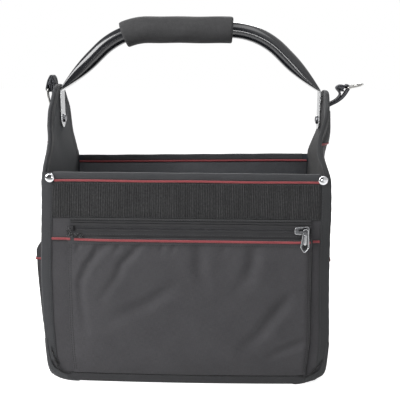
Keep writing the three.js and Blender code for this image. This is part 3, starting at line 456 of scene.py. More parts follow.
cloth_finish = woven("wall_cloth", tint(49, 48.5, 50.5), tint(78, 77, 80), 0.62, 0.16, slub=0.8)
board_finish, tree, shader, lay, along, across = start_finish("stiffening_board")
grain = cloud(tree, lay, 0.35, (1, 0.25, 1))
plug(
    tree,
    shader,
    Base_Color=blend_colours(tree, grain, tint(24, 24, 26), tint(38, 38, 40)),
    Roughness=0.55 + 0.15 * grain,
)

wall_layers = [
    ("cloth", 0.0, 1.2, 186.0, 2.2, 295.6, cloth_finish, "cloth"),
    ("board", -1.5, 1.5, 180.0, 8.0, 292.6, board_finish, "board"),
    ("lining", -3.3, 0.9, 186.0, 2.2, 295.6, lining_finish, "lining"),
]
wall_pitch = 4.0


def wall_sheet(face, outset, span, low, high):
    columns = int(2 * span / wall_pitch)
    rows = int((high - low) / wall_pitch)
    x, z = np.meshgrid(np.linspace(-span, span, columns), np.linspace(low, high, rows))
    y = face * skin(x, z, outset, half_deep, half_long)
    return settle(np.stack([x, y, z], axis=-1))


for face_name, face in (("front", -1), ("back", 1)):
    for layer, outset, thickness, span, low, high, finish, slot in wall_layers:
        outer = wall_sheet(face, outset, span, low, high)
        inner = wall_sheet(face, outset - thickness, span, low, high)
        wall = sheet_piece(f"{face_name}_wall_{layer}", outer, inner, finish, slot)
        node = "panel" if layer == "cloth" else layer
        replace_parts(wall, f"{face_name}_{node}")
        if layer != "board":
            2 * span * MM
            (high - low) * MM

# End walls: the same three layers, each rising above the rim into a tongue with a rounded top,
# which carries one end of the handle and one ring.

tongue_top = 406.0
wall_bottom = 2.2
end_corners = [
    (100, 20, 0),
    (100, 301, 22),
    (66, 337, 45),
    (53, 375, 26),
    (17, tongue_top, 24),
    (-17, tongue_top, 24),
    (-53, 375, 26),
    (-66, 337, 45),
    (-100, 301, 22),
    (-100, 20, 0),
]


def resample(points, step):
    lengths = np.linalg.norm(np.diff(points, axis=0), axis=-1)
    run = np.concatenate([[0.0], np.cumsum(lengths)])
    places = np.linspace(0, run[-1], max(2, int(round(run[-1] / step)) + 1))
    return np.stack([np.interp(places, run, points[:, k]) for k in range(points.shape[1])], axis=-1)


def rounded(corners, step):
    """Even points along straight runs joined by arcs. A corner is its two places and a radius."""
    points = [np.array(corners[0][:2], float)]
    for before, corner, after in zip(corners, corners[1:], corners[2:]):
        place = np.array(corner[:2], float)
        back = np.array(before[:2], float) - place
        ahead = np.array(after[:2], float) - place
        back /= np.linalg.norm(back)
        ahead /= np.linalg.norm(ahead)
        half = math.acos(float(np.clip(back @ ahead, -1, 1))) / 2
        middle = (back + ahead) / np.linalg.norm(back + ahead)
        centre = place + middle * corner[2] / math.sin(half)
        start = place + back * corner[2] / math.tan(half) - centre
        end = place + ahead * corner[2] / math.tan(half) - centre
        sweep = math.atan2(start[0] * end[1] - start[1] * end[0], start @ end)
        for turn in np.linspace(0, sweep, max(3, int(abs(sweep) * corner[2] / step) + 2)):
            c, s = math.cos(turn), math.sin(turn)
            points.append(centre + [c * start[0] - s * start[1], s * start[0] + c * start[1]])
    points.append(np.array(corners[-1][:2], float))
    return resample(np.array(points), step)


end_outline = rounded(end_corners, 2.0)
half_outline = end_outline[end_outline[:, 0] > 0]
half_outline = half_outline[np.argsort(half_outline[:, 1], kind="stable")]


def end_half_width(height):
    return np.interp(height, half_outline[:, 1], half_outline[:, 0])


def end_sheet(side, outset, inset, low, high, columns=46):
    rows = int((high - low) / wall_pitch)
    share, z = np.meshgrid(np.linspace(-1, 1, columns), np.linspace(low, high, rows))
    y = share * (end_half_width(z) - inset)
    x = side * skin(y, z, outset, half_long, half_deep)
    return settle(np.stack([x, y, z], axis=-1))


end_layers = [
    ("cloth", 0.0, 1.2, 0.0, wall_bottom, tongue_top - 0.2, cloth_finish, "cloth"),
    ("board", -1.5, 1.5, 6.0, 8.0, tongue_top - 6.0, board_finish, "board"),
    ("lining", -3.3, 0.9, 0.5, wall_bottom, tongue_top - 0.6, lining_finish, "lining"),
]
for side_name, side in (("left", -1), ("right", 1)):
    for layer, outset, thickness, inset, low, high, finish, slot in end_layers:
        outer = end_sheet(side, outset, inset, low, high)
        inner = end_sheet(side, outset - thickness, inset, low, high)
        # each tongue's lining carries painted shade
        if layer == "lining":
            finish = shaded_right_lining if side > 0 else shaded_left_lining
        wall = sheet_piece(f"{side_name}_end_{layer}_sheet", outer, inner, finish, slot)
        node = "panel" if layer == "cloth" else layer
        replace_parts(wall, f"{side_name}_end_{node}")
        layer != "board"

# Edge binding: a ribbed tape folded round the upright corners and over the whole edge of each
# tongue, and sewn down with one row of stitches close to its inner edge.

tape_width = 13.0
tape_out = 1.7
tape_foot = 30.0


def twill(name, dark, light, pitch=1.1, relief=0.22, rough=0.85):
    """Narrow woven tape with fine slanting ribs."""
    finish, tree, shader, lay, along, across = start_finish(name)
    slant = (along * 0.6 + across) * (2 * math.pi / pitch)
    rib = 0.5 + 0.5 * wave(slant)
    slub = cloud(tree, lay, 0.9, (0.3, 1.2, 1))
    dust = cloud(tree, lay, 0.05, (1, 1, 1), 4.0)
    share = 0.15 + 0.35 * rib + 0.5 * (slub - 0.3) + 0.5 * (dust - 0.5)
    plug(
        tree,
        shader,
        Base_Color=blend_colours(tree, share, dark, light),
        Roughness=rough + 0.1 * (slub - 0.5),
        Normal=bump(tree, rib * 0.8 + slub * 0.6, relief),
        Sheen_Weight=0.15,
        Specular_IOR_Level=0.35,
    )
    return finish


binding_finish = twill("edge_tape", tint(46, 47, 49), tint(74, 75, 78))
# painted shade: the tape round the right end is the same tape drawn a shade darker
shaded_binding = twill("shaded_edge_tape", tint(38, 39, 40), tint(61, 62, 64))
end_tapes = {-1: binding_finish, 1: shaded_binding}
thread_finish, tree, shader, lay, along, across = start_finish("sewing_thread")
ply = wave(along * 5 + across * 4)
plug(
    tree,
    shader,
    Base_Color=blend_colours(tree, 0.5 + 0.3 * ply, tint(38, 39, 41), tint(72, 73, 75)),
    Roughness=0.6 + 0.05 * ply,
)

stitch_length = 2.5
stitch_gap = 1.1
stitch_sections = [(-0.5, 0.12), (-0.42, 0.75), (0.0, 1.0), (0.42, 0.75), (0.5, 0.12)]
stitch_sides = 6


def beads(places, headings, outwards, length, width, height, rows=stitch_sections, sides=stitch_sides):
    """The same small rounded bead at many places, each lying along its heading."""
    turns = circle_turns(sides)
    shape = []
    for along_share, size in rows:
        for turn in turns:
            shape.append([
                along_share * length,
                size * math.cos(turn) * width / 2,
                size * math.sin(turn) * height / 2,
            ])
    shape = np.array(shape)
    sideways = np.cross(outwards, headings)
    points = (
        places[:, None, :]
        + shape[None, :, 0:1] * headings[:, None, :]
        + shape[None, :, 1:2] * sideways[:, None, :]
        + shape[None, :, 2:3] * outwards[:, None, :]
    )
    faces = []
    count = len(shape)
    one = grid_faces(len(rows), sides, 0, True)
    one += [list(range(sides))[::-1], [count - sides + j for j in range(sides)]]
    for i in range(len(places)):
        faces += [[i * count + index for index in face] for face in one]
    lay = np.tile(shape, (len(places), 1)) + np.repeat(places, count, axis=0)
    return points.reshape(-1, 3), faces, lay


def unit(vectors):
    return vectors / np.maximum(np.linalg.norm(vectors, axis=-1, keepdims=True), 1e-9)


def stitches(path, outward):
    """Stitches along a sewing line, sunk a little into the cloth on the side away from outward."""
    fine = resample(np.asarray(path, float), stitch_length + stitch_gap)
    middle = (fine[1:] + fine[:-1]) / 2
    heading = unit(fine[1:] - fine[:-1])
    outward = np.broadcast_to(np.asarray(outward, float), middle.shape)
    outward = unit(outward - heading * np.sum(outward * heading, axis=-1, keepdims=True))
    return beads(middle, heading, outward, stitch_length, 0.75, 0.6)


def join_meshes(parts):
    points, faces, lays = [], [], []
    start = 0
    for part_points, part_faces, part_lay in parts:
        points.append(part_points)
        lays.append(part_lay)
        faces += [[start + index for index in face] for face in part_faces]
        start += len(part_points)
    faces.sort(key=lambda face: len(face) != 4)
    return np.concatenate(points), faces, np.concatenate(lays)


def upright_tape(side, face):
    """The tape folded round an upright corner, as one closed ring of points at each height."""
    heights = np.arange(tape_foot, rim + 1.5, 3.0)
    drop = tape_width
    outer = [(drop, 0.35), (drop - 0.3, 1.0), (drop - 2.2, tape_out - 0.45), (drop - 5, tape_out)]
    outer += [(5.0, tape_out), (2.0, tape_out - 0.1)]
    turn = np.linspace(0, math.pi / 2, 5)
    ring = [(half_long + out, half_deep - inset) for inset, out in outer]
    ring += [
        (half_long + tape_out - 2.4 + 2.4 * math.cos(t), half_deep + tape_out - 2.4 + 2.4 * math.sin(t))
        for t in turn
    ]
    ring += [(half_long - inset, half_deep + out) for inset, out in reversed(outer)]
    ring += [(half_long - drop, half_deep + 0.2), (half_long + 0.2, half_deep + 0.2)]
    ring += [(half_long + 0.2, half_deep - drop)]
    ring = np.array(ring)
    rings = np.zeros((len(heights), len(ring), 3))
    rings[..., 0] = side * ring[None, :, 0]
    rings[..., 1] = face * ring[None, :, 1]
    rings[..., 2] = heights[:, None]
    pucker = 0.12 * np.sin(heights * 1.7)[:, None]
    rings[..., 0] += side * pucker * (np.abs(ring[None, :, 0]) > half_long)
    return settle(rings)


def upright_line(x, y, heights):
    """Points one above the other at one place."""
    return np.stack([np.full(len(heights), x), np.full(len(heights), y), heights], -1)


def tongue_tape(side):
    """The tape folded over the edge of the tongue, ring by ring round its outline."""
    path = end_outline[end_outline[:, 1] > rim - 6]
    heading = unit(np.gradient(path, axis=0))
    normal = np.stack([heading[:, 1], -heading[:, 0]], axis=-1)
    normal *= np.sign(np.sum(normal * (path - [0, 250]), axis=-1, keepdims=True))
    outside = half_long + tape_out
    inside = half_long - 4.5
    radius = (outside - inside) / 2
    profile = [
        (half_long + 0.35, -tape_width),
        (half_long + 1.0, 0.3 - tape_width),
        (outside - 0.45, 2.2 - tape_width),
        (outside, 5 - tape_width),
        (outside, -2.0),
    ]
    for turn in np.linspace(0, math.pi, 7):
        profile.append((outside - radius + radius * math.cos(turn), -1.4 + radius * math.sin(turn)))
    profile += [
        (inside, -2.4),
        (inside, 5 - tape_width),
        (inside + 0.4, 0.3 - tape_width),
        (inside + 1.0, -tape_width),
        (inside + 1.3, -1.6),
        (half_long - 0.2, -1.6),
    ]
    rings = []
    for (y, z), (ny, nz) in zip(path, normal):
        rings.append([(side * out, y + off * ny, z + off * nz) for out, off in profile])
    return settle(np.array(rings)), path, normal


# the tape's seams: in from its edge, out from the end's cloth, and in from there to the inside
tape_seam = 2.4
seam_outset = 1.45
seam_depth = 4.35
for side_name, side in (("left", -1), ("right", 1)):
    rings, path, normal = tongue_tape(side)
    parts = [run_mesh(upright_tape(side, face)) for face in (-1, 1)]
    parts.append(run_mesh(rings))
    binding = make_piece(f"{side_name}_edge_tape", *join_meshes(parts), end_tapes[side], "binding_tape")
    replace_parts(binding, f"{side_name}_end_binding")
    seam = path + normal * (tape_seam - tape_width)
    outside = np.full(len(seam), side * (half_long + seam_outset))
    outer_line = np.stack([outside, seam[:, 0], seam[:, 1]], -1)
    inner_line = outer_line * [0, 1, 1] + [side * (half_long - seam_depth), 0, 0]
    heights = np.arange(tape_foot + 8, rim - 2, 4.0)
    rows = [stitches(settle(outer_line), (side, 0, 0)), stitches(settle(inner_line), (-side, 0, 0))]
    inset = tape_width - tape_seam
    for face in (-1, 1):
        down_side = upright_line(side * (half_long + seam_outset), face * (half_deep - inset), heights)
        down_face = upright_line(side * (half_long - inset), face * (half_deep + seam_outset), heights)
        rows.append(stitches(settle(down_side), (side, 0, 0)))
        rows.append(stitches(settle(down_face), (0, face, 0)))
    make_piece(f"{side_name}_tape_stitches", *join_meshes(rows), thread_finish, "binding_tape")

# Corner patches: a triangle of the same tape sewn round each lower corner, over the wrap and the
# foot of the edge binding.

patch_top = 62.0
patch_width = 21.4
patch_out = 2.4
patch_edge = [(0, 11, 13, 17, 24, 37, 52, 62), (16, 15, 9, 5.2, 4, 2, 0.8, 0.6)]

for side_name, side in (("left", -1), ("right", 1)):
    for face_name, face in (("front", -1), ("back", 1)):
        heights = np.concatenate([[-0.0, 0.8, 2.2], np.linspace(5, patch_top, 20)])
        layers = []
        for outset in (patch_out, patch_out - 0.9):
            rows = []
            for height in heights:
                reach = max(patch_width * (1 - height / patch_top), 0.6)
                face_reach = np.interp(height, patch_edge[0], patch_edge[1])
                radius = float(corner_rounding(height)) + outset
                roll = 1.6 * (1 - ramp(0, 3, height))
                turns = np.linspace(0, math.pi / 2, 9)
                arc_x = half_long + outset - radius * (1 - np.cos(turns) ** (2 / corner_power))
                arc_y = half_deep + outset - radius * (1 - np.sin(turns) ** (2 / corner_power))
                lead_y = arc_y[0] - np.linspace(reach, reach / 5, 5)
                lead_x = arc_x[-1] - np.linspace(face_reach / 5, face_reach, 5)
                tuck = 0.45 * (outset - patch_out + 1.2)
                xs = np.concatenate([np.full(5, arc_x[0]), arc_x, lead_x]) - roll
                ys = np.concatenate([lead_y, arc_y, np.full(5, arc_y[-1])]) - roll
                xs[0] -= tuck
                ys[-1] -= tuck
                rows.append(np.stack([side * xs, face * ys, np.full(len(xs), height)], -1))
            layers.append(settle(np.array(rows)))
        patch = sheet_piece(
            f"{face_name}_{side_name}_patch", layers[0], layers[1], end_tapes[side], "binding_tape"
        )
        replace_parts(patch, f"{face_name}_{side_name}_corner_patch")

# Rim trim: a tape folded over the top of each long wall, a red piping cord below it, and a band
# of coarse webbing with upright ribs below that.

piping_finish, tree, shader, lay, along, across = start_finish("red_piping")
thread = wave(along * 4.2) * wave(across * 4.2)
fuzz = cloud(tree, lay, 0.8, (0.5, 1, 1), 4.0)
dust = cloud(tree, lay, 0.04)
share = 0.4 + 0.25 * thread + 0.6 * (fuzz - 0.5) + 0.5 * (dust - 0.5)
plug(
    tree,
    shader,
    Base_Color=blend_colours(tree, share, tint(118, 38, 44), tint(166, 80, 84)),
    Roughness=0.78 - 0.1 * thread,
    Normal=bump(tree, thread * 0.5 + fuzz, 0.2),
    Sheen_Weight=0.25,
)


tie_pitch = 1.5


def webbing(name, dark, light, pitch, relief=0.35):
    """Coarse webbing: cords along it, tied across by finer threads."""
    finish, tree, shader, lay, along, across = start_finish(name)
    cross = wave(across * (2 * math.pi / tie_pitch))
    cord = wave(along * (2 * math.pi / pitch), "COSINE")
    slub = cloud(tree, lay, 0.5, (1.0, 0.6, 1))
    dust = cloud(tree, lay, 0.03, (1, 1, 1), 4.0)
    share = 0.35 + 0.22 * cord + 0.15 * cross + 1.5 * (slub - 0.5) + 0.5 * (dust - 0.5)
    plug(
        tree,
        shader,
        Base_Color=blend_colours(tree, share, dark, light),
        Roughness=0.9 - 0.1 * slub,
        Normal=bump(tree, cross * 0.4 + slub, relief),
        Sheen_Weight=0.1,
        Specular_IOR_Level=0.3,
    )
    return finish


rib_pitch = 2.4
webbing_finish = webbing("ribbed_webbing", tint(24, 24, 25), tint(72, 72, 73), rib_pitch)


def cord_rings(path, radius, out_share=1.0, sides=12, flat=(0, 0, 1)):
    """Round rings along a path, squashed across it by out_share on the side given by flat."""
    path = np.asarray(path, float)
    heading = unit(np.gradient(path, axis=0))
    flat = np.broadcast_to(np.asarray(flat, float), path.shape)
    flat = unit(flat - heading * np.sum(flat * heading, axis=-1, keepdims=True))
    out = np.cross(heading, flat)
    turns = circle_turns(sides)
    ring = flat[:, None, :] * np.cos(turns)[None, :, None]
    ring = ring + out_share * out[:, None, :] * np.sin(turns)[None, :, None]
    radius = np.broadcast_to(np.asarray(radius, float), (len(path),))
    return path[:, None, :] + ring * radius[:, None, None]


def piping_radius(count, radius):
    """A sewn cord swells a little between its stitches."""
    return radius * (1 + 0.035 * np.sin(np.arange(count) * 2.1) + 0.02 * np.sin(np.arange(count) * 0.7))


def level_line(start, end, count, y, z):
    """Even points along the bag at one depth and height."""
    run = np.linspace(start, end, count)
    return np.stack([run, np.full(count, float(y)), np.full(count, float(z))], -1)


def piping_cord(name, node, line, radius, out_share=0.85):
    """Red piping sewn down along a line of points that have settled."""
    rings = cord_rings(line, piping_radius(len(line), radius), out_share)
    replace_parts(run_piece(name, rings, piping_finish, "piping"), node)


rim_span = 177.0
cord_span = 174.2
piping_drop = 10.5
piping_radius_mm = 1.6
band_low = 236.0
band_high = 284.9
band_span = 177.3

for face_name, face in (("front", -1), ("back", 1)):
    run = np.linspace(-rim_span, rim_span, 120)
    profile = [(0.25, -9), (0.9, -8.8), (1.35, -7.6), (1.5, -3), (1.3, -0.9), (0.4, 0.3), (-1.8, 0.7)]
    profile += [(-4.2, 0.3), (-5.0, -0.8), (-5.2, -3), (-5.1, -7.6), (-4.5, -8.2), (-4.3, -7)]
    profile += [(-4.2, -1.4), (0.1, -1.4)]
    profile = np.array(profile)
    rings = np.zeros((len(run), len(profile), 3))
    rings[..., 0] = run[:, None]
    rings[..., 1] = face * (half_deep + profile[None, :, 0])
    rings[..., 2] = rim + profile[None, :, 1] + 0.15 * np.sin(run / 9)[:, None]
    rim_tape = run_piece(f"{face_name}_rim_tape", settle(rings), binding_finish, "binding_tape")
    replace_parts(rim_tape, f"{face_name}_rim_binding")

    line = level_line(-cord_span, cord_span, 180, face * 101.3, rim - piping_drop)
    line[:, 2] += 0.25 * np.sin(line[:, 0] / 23 + 1)
    piping_cord(f"{face_name}_rim_cord", f"{face_name}_rim_piping", settle(line), piping_radius_mm)

    ribs = int(2 * band_span / rib_pitch)
    run = np.linspace(-band_span, band_span, ribs * 6 + 1)
    rise = np.concatenate([[band_low], np.linspace(band_low + 0.8, band_high - 0.8, 9), [band_high]])
    x, z = np.meshgrid(run, rise)
    swell = np.abs(np.sin(x / rib_pitch * math.pi)) ** 0.8
    uneven = 0.16 * np.sin(np.floor(x / rib_pitch) * 2.3) + 0.1 * np.sin(np.floor(x / rib_pitch) * 5.1)
    edge = ramp(0, 0.8, z - band_low) * ramp(0, 0.8, band_high - z)
    out = half_deep + 0.45 + (0.75 + 0.75 * swell * (1 + uneven)) * (0.35 + 0.65 * edge)
    front = settle(np.stack([x, face * out, z], -1))
    back = settle(np.stack([x, np.full_like(x, face * (half_deep + 0.3)), z], -1))
    band = sheet_piece(f"{face_name}_ribbed_band", front, back, webbing_finish, "webbing")
    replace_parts(band, f"{face_name}_webbing_band")

    lines = []
    seams = ((rim - 7.1, 1.55, 173), (band_low + 1.9, 2.0, 176), (band_high - 2, 2.0, 176))
    for height, out, span in seams:
        line = level_line(-span, span, 60, face * (half_deep + out), height)
        lines.append(stitches(settle(line), (0, face, 0)))
    make_piece(f"{face_name}_trim_stitches", *join_meshes(lines), thread_finish, "cloth")

# Dark lines: a near-black ragged cord follows the slanted edge of each front corner patch down to
# the wrap, and a thin near-black cord along the wrap's top edge is painted shadow under its hem.

# the front pocket's stitches: dark thread drawn near-black, partly painted shade of the grooves the seams
# sink into
dark_thread_finish = twill("dark_thread", tint(18, 18, 19), tint(38, 38, 39), 0.9, 0.3)
near_black_finish = twill("near_black", tint(6, 6, 7), tint(18, 18, 19), 0.9, 0.3)
corner_dark_lines = {
    "left": [
        (-184, 52), (-181.2, 37.4), (-177.6, 24.5), (-177.5, 16.5), (-172.5, 12.2), (-162, 11.8),
        (-156.5, 15),
    ],
    "right": [(185.5, 40), (180.4, 29.4), (177, 22), (172.2, 13), (166, 10.5), (152, 14.2)],
}
for side_name, corners in corner_dark_lines.items():
    corners = np.array(corners, float)
    line = resample(corners, 1.2)
    steps = np.arange(len(line))
    line[:, 0] += 0.5 * np.sin(steps * 0.9) + 0.3 * np.sin(steps * 2.3)
    out = skin(line[:, 0], line[:, 1], 0.0, half_deep, half_long) + 2.5
    path = settle(np.stack([line[:, 0], -out, line[:, 1]], -1))
    girth = 1.3 + 0.35 * np.sin(steps * 1.3) + 0.4 * np.sin(steps * 0.37)
    girth = girth * np.sqrt(np.clip(np.sin(np.linspace(0.03, math.pi - 0.03, len(line))), 0, 1))
    run_piece(f"{side_name}_corner_dark_line", cord_rings(path, girth, 0.6), near_black_finish, "binding_tape")
# painted shadow: a thin near-black cord along the wrap's top edge on both long walls
for face_name, face in (("front", -1), ("back", 1)):
    line = level_line(-156, 160, 160, face * (half_deep + wrap_outset), wrap_height + 0.2)
    run = line[:, 0]
    girth = 0.5 + 0.0012 * run + 0.12 * np.sin(run / 5) + 0.12 * np.sin(run / 23)
    rings = cord_rings(settle(line), girth, 0.8)
    run_piece(f"{face_name}_wrap_shadow_line", rings, near_black_finish, "binding_tape")

# Inner pocket: a flat panel of lining on the inside of the back wall, its mouth edged with piping.
# Towards the mouth the panel hangs a little away from the wall.

# painted light and shade: the walls' polyester drawn paler, and darkening steadily towards the right end
inner_cloth_painted_light = woven(
    "inner_pocket_painted_light_cloth", tint(48, 49, 52), tint(112, 114, 118), 0.62, 0.1, fade=-0.0022
)
inner_span = 184.5
inner_foot = 70
inner_mouth = 284.4
run = np.linspace(-inner_span, inner_span, 90)
x, z = np.meshgrid(run, np.linspace(inner_foot, inner_mouth, 50))
droop = 1.2 * ramp(200, 284, z) * np.sin(x / 60 + 0.5) ** 2
edge = ramp(0, 5, inner_span - np.abs(x)) * ramp(0, 4, z - inner_foot)
slack = (0.5 + droop + 0.5 * np.sin(x / 40)) * edge
front = settle(np.stack([x, 95.2 - slack - 0.6, z], -1))
back = settle(np.stack([x, 95.4 - slack, z], -1))
inner_pocket = sheet_piece("inner_back_pocket", front, back, inner_cloth_painted_light, "lining")
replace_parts(inner_pocket, "back_inner_pocket")
line = level_line(-184, 184, 180, 93.9, 287.0)
piping_cord("inner_pocket_cord", "back_inner_piping", settle(line), piping_radius_mm, 0.8)

# Front pocket: one wide cloth tray sewn to the wall on three sides, slack enough to belly and to
# crease down from the left of its mouth. A hem and red piping run along the mouth below the zip.

pocket_left = -156.0
pocket_right = 165.0
pocket_low = 14.0
pocket_high = 211.0
pocket_depth = 8.0
pocket_hem = 11.0
pocket_piping_mm = 1.8
pocket_cord_height = 207.0
pocket_seat = half_deep + 0.3
creases = [
    ([(-104, 204), (-118, 188), (-129, 172), (-139, 148), (-139, 122), (-134, 79)], 3.6, 7.5),
    ([(-60, 203), (-74, 186), (-85, 174), (-91, 157), (-113, 124)], 3.2, 7.5),
    ([(-19, 143), (-49, 121), (-81, 106), (-101, 94)], 2.7, 12.0),
    ([(17, 202), (19, 165), (28, 142)], 3.6, 12.5),
    ([(90, 203), (89.5, 177), (82, 156), (69, 141)], 4.2, 12.5),
    ([(134, 127), (118, 105), (101, 80), (77, 56)], 4.6, 11.5),
    ([(160, 68), (133, 56), (110, 42)], 2.6, 8.5),
    ([(-141, 200), (-145, 188)], 1.6, 4.5),
    ([(-117, 201), (-122, 190)], 1.2, 4.0),
    ([(-88, 201), (-95, 189)], 1.4, 4.5),
    ([(-31, 201), (-35, 191)], 1.2, 4.5),
    ([(-15, 201), (-20, 190)], 1.2, 4.5),
    ([(52, 201), (49, 186)], 0.9, 6.0),
]


def crease_field(x, z):
    """How far the cloth is pushed out or in by its creases: a valley between two low ridges."""
    total = np.zeros_like(x)
    for path, depth, width in creases:
        path = np.array(path, float)
        nearest = np.full(x.shape, 1e9)
        strength = np.zeros_like(x)
        for i, (a, b) in enumerate(zip(path, path[1:])):
            step = b - a
            t = np.clip(((x - a[0]) * step[0] + (z - a[1]) * step[1]) / (step @ step), 0, 1)
            away = np.hypot(x - a[0] - t * step[0], z - a[1] - t * step[1])
            along_share = (i + t) / (len(path) - 1)
            closer = away < nearest
            nearest = np.where(closer, away, nearest)
            swell = np.minimum(1, 0.4 + 2.4 * along_share) * (1 - 0.75 * along_share**1.5)
            strength = np.where(closer, swell, strength)
        r = nearest / width
        total += -depth * strength * (1 - 0.9 * r * r) * np.exp(-r * r)
    return total


def pocket_out(x, z):
    """How far the pocket's face stands off the wall."""
    left = np.clip((x - pocket_left) / 62, 0, 1)
    right = np.clip((pocket_right - x) / 12, 0, 1)
    low = np.clip((z - pocket_low) / 30, 0, 1)
    body = (1 - (1 - left) ** 1.7) * (1 - (1 - right) ** 2.6) * (1 - (1 - low) ** 2.2)
    mouth = 0.72 + 0.28 * ramp(0, 22, pocket_high - pocket_hem - z)
    fade = ramp(0, 12, x - pocket_left) * ramp(0, 8, pocket_right - x) * ramp(0, 14, z - pocket_low)
    folds = crease_field(x, z) * fade * ramp(0, 9, pocket_high - 4 - z)
    return 0.5 + (pocket_depth - 1.4) * body * mouth + folds


def pocket_face(x, z, lift=0.0):
    out = pocket_seat + pocket_out(x, z) + 1.0
    leaned = x + 2.3 * ramp(40, 205, z) * ramp(100, pocket_right, x)
    return settle(np.stack([leaned, -(out + lift), z], -1))


run = np.linspace(pocket_left, pocket_right, 180)
rise = np.linspace(pocket_low, pocket_high, 110)
x, z = np.meshgrid(run, rise)
hem_lift = 0.5 * (ramp(0, 1.2, z - (pocket_high - pocket_hem - 1)))
front = pocket_face(x, z, hem_lift)
back = pocket_face(x, z, hem_lift - 1.1)
front_pocket = sheet_piece("front_pocket_cloth", front, back, cloth_finish, "cloth")
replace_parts(front_pocket, "front_pocket")

run = np.linspace(-147, 162, 170)
line = pocket_face(run, np.full(len(run), pocket_cord_height), 0.9)
piping_cord("front_pocket_cord", "front_pocket_piping", line, pocket_piping_mm)
for side_name, start, end in (("left", -band_span, -152.4), ("right", 168.2, band_span)):
    line = level_line(start, end, 16, -101.4, pocket_cord_height)
    # the left stub climbs onto the pocket's edge
    line[:, 1] -= 1.3 * ramp(-158, -154, line[:, 0]) * (line[:, 0] < 0)
    piping_cord(f"{side_name}_cord_stub", f"{side_name}_piping_stub", settle(line), pocket_piping_mm)

rows = []
for inset in (1.6, 4.6):
    rise = np.linspace(pocket_low + 4, pocket_high - 4, 60)
    rows.append(stitches(pocket_face(np.full(60, pocket_left + inset), rise, 0.1), (0, -1, 0)))
    rows.append(stitches(pocket_face(np.full(60, pocket_right - inset), rise, 0.1), (0, -1, 0)))
run = np.linspace(pocket_left + 6, pocket_right - 6, 90)
for height in (pocket_high - pocket_hem + 1, pocket_high - 1.1):
    rows.append(stitches(pocket_face(run, np.full(90, height), hem_lift.max() + 0.1), (0, -1, 0)))
make_piece("front_pocket_stitches", *join_meshes(rows), dark_thread_finish, "cloth")
# painted shadow: a near-black cord along the pocket's right edge, the shade at its seam
rise = np.linspace(pocket_low + 1, pocket_high - pocket_hem, 120)
line = pocket_face(np.full(120, pocket_right + 0.4), rise, -0.6)
girth = 0.6 + 0.12 * np.sin(rise / 4) + 0.15 * np.sin(rise / 17)
run_piece("front_pocket_shadow_line", cord_rings(line, girth, 0.9, 12, (1, 0, 0)), near_black_finish, "cloth")

# Zip: two tapes whose coiled nylon teeth meet over the pocket's mouth. The upper tape is sewn
# under a folded welt, and a small metal stop is pinched on at each end.

zip_height = 223.0
zip_left = -153.0
zip_right = 165.0
tooth_pitch = 1.9
tooth_rise = 1.3
tooth_face = 105.2

zip_tape_finish = twill("zip_tape", tint(30, 30, 32), tint(58, 58, 60), 1.6, 0.2)
tack_finish = twill("tack_thread", tint(70, 70, 72), tint(120, 120, 122), 0.9, 0.3)
nylon_finish, tree, shader, lay, along, across = start_finish("nylon_teeth")
haze = cloud(tree, lay, 0.4)
plug(
    tree,
    shader,
    Base_Color=blend_colours(tree, haze, tint(40, 40, 42), tint(72, 72, 75)),
    Roughness=0.45 + 0.15 * haze,
)


def cross_run(profile, start, end, count, wobble=0.0):
    """A section in depth and height carried along the bag's front."""
    run = np.linspace(start, end, count)
    profile = np.array(profile, float)
    rings = np.zeros((count, len(profile), 3))
    rings[..., 0] = run[:, None]
    rings[..., 1] = -profile[None, :, 0] - wobble * np.sin(run / 7)[:, None]
    rings[..., 2] = profile[None, :, 1] + wobble * np.sin(run / 11 + 1)[:, None]
    return settle(rings)


def teeth(sign):
    xs = np.arange(zip_left + 1, zip_right - 1, tooth_pitch)
    count = len(xs)
    shift = 0.5 * tooth_pitch if sign > 0 else 0.0
    heights = np.full(count, zip_height + sign * tooth_rise)
    places = np.stack([xs + shift, np.full(count, -tooth_face), heights], -1)
    headings = np.tile([0.22, 0, 0.975], (count, 1))
    outwards = np.tile([0.0, -1.0, 0.0], (count, 1))
    return beads(settle(places), headings, outwards, 2.9, 1.4, 1.6)


lower_profile = [
    (104.9, 211.3), (105.6, 211.3), (105.7, 213.6), (106.1, 214.6), (106.1, 215.4), (105.7, 216.3),
    (105.5, 219.0), (106.0, 220.4), (105.4, 221.3), (104.8, 219.5),
]
upper_profile = [
    (104.6, 224.9), (105.4, 224.9), (105.9, 226.3), (106.1, 227.4), (105.4, 228.6), (104.6, 230),
]
lower = cross_run(lower_profile, zip_left, zip_right, 100, 0.1)
upper = cross_run(upper_profile, zip_left, zip_right, 100, 0.1)
lower_tape = make_piece("lower_zip_tape", *run_mesh(lower), zip_tape_finish, "zip_tape")
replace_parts(lower_tape, "zip_lower_tape")
welt_profile = [
    (100.4, 236.2), (102.4, 236.3), (104.2, 235.6), (104.6, 234.6), (104.2, 233.8), (103.1, 233.2),
    (104.0, 232.7), (105.2, 231.9), (105.4, 231.2), (104.6, 230.4), (103.2, 230.0), (102.0, 230.4),
    (100.4, 231.0),
]
welt = run_mesh(cross_run(welt_profile, zip_left, zip_right, 120, 0.12))
make_piece("zip_welt", *welt, zip_tape_finish, "zip_tape")
upper_tape = make_piece("upper_zip_tape", *run_mesh(upper), zip_tape_finish, "zip_tape")
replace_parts(upper_tape, "zip_upper_tape")
for name, sign in (("lower_teeth", -1), ("upper_teeth", 1)):
    make_piece(name, *teeth(sign), nylon_finish, "zip_tape")

# the seams along the two tapes: how far out from the bag's middle, and how high
seams = ((104.7, 234.9), (106.2, 215.0))
seam_inset = 3
rows = []
for out, height in seams:
    line = level_line(zip_left + seam_inset, zip_right - seam_inset, 80, -out, height)
    rows.append(stitches(settle(line), (0, -1, 0.2)))
make_piece("zip_stitches", *join_meshes(rows), thread_finish, "zip_tape")

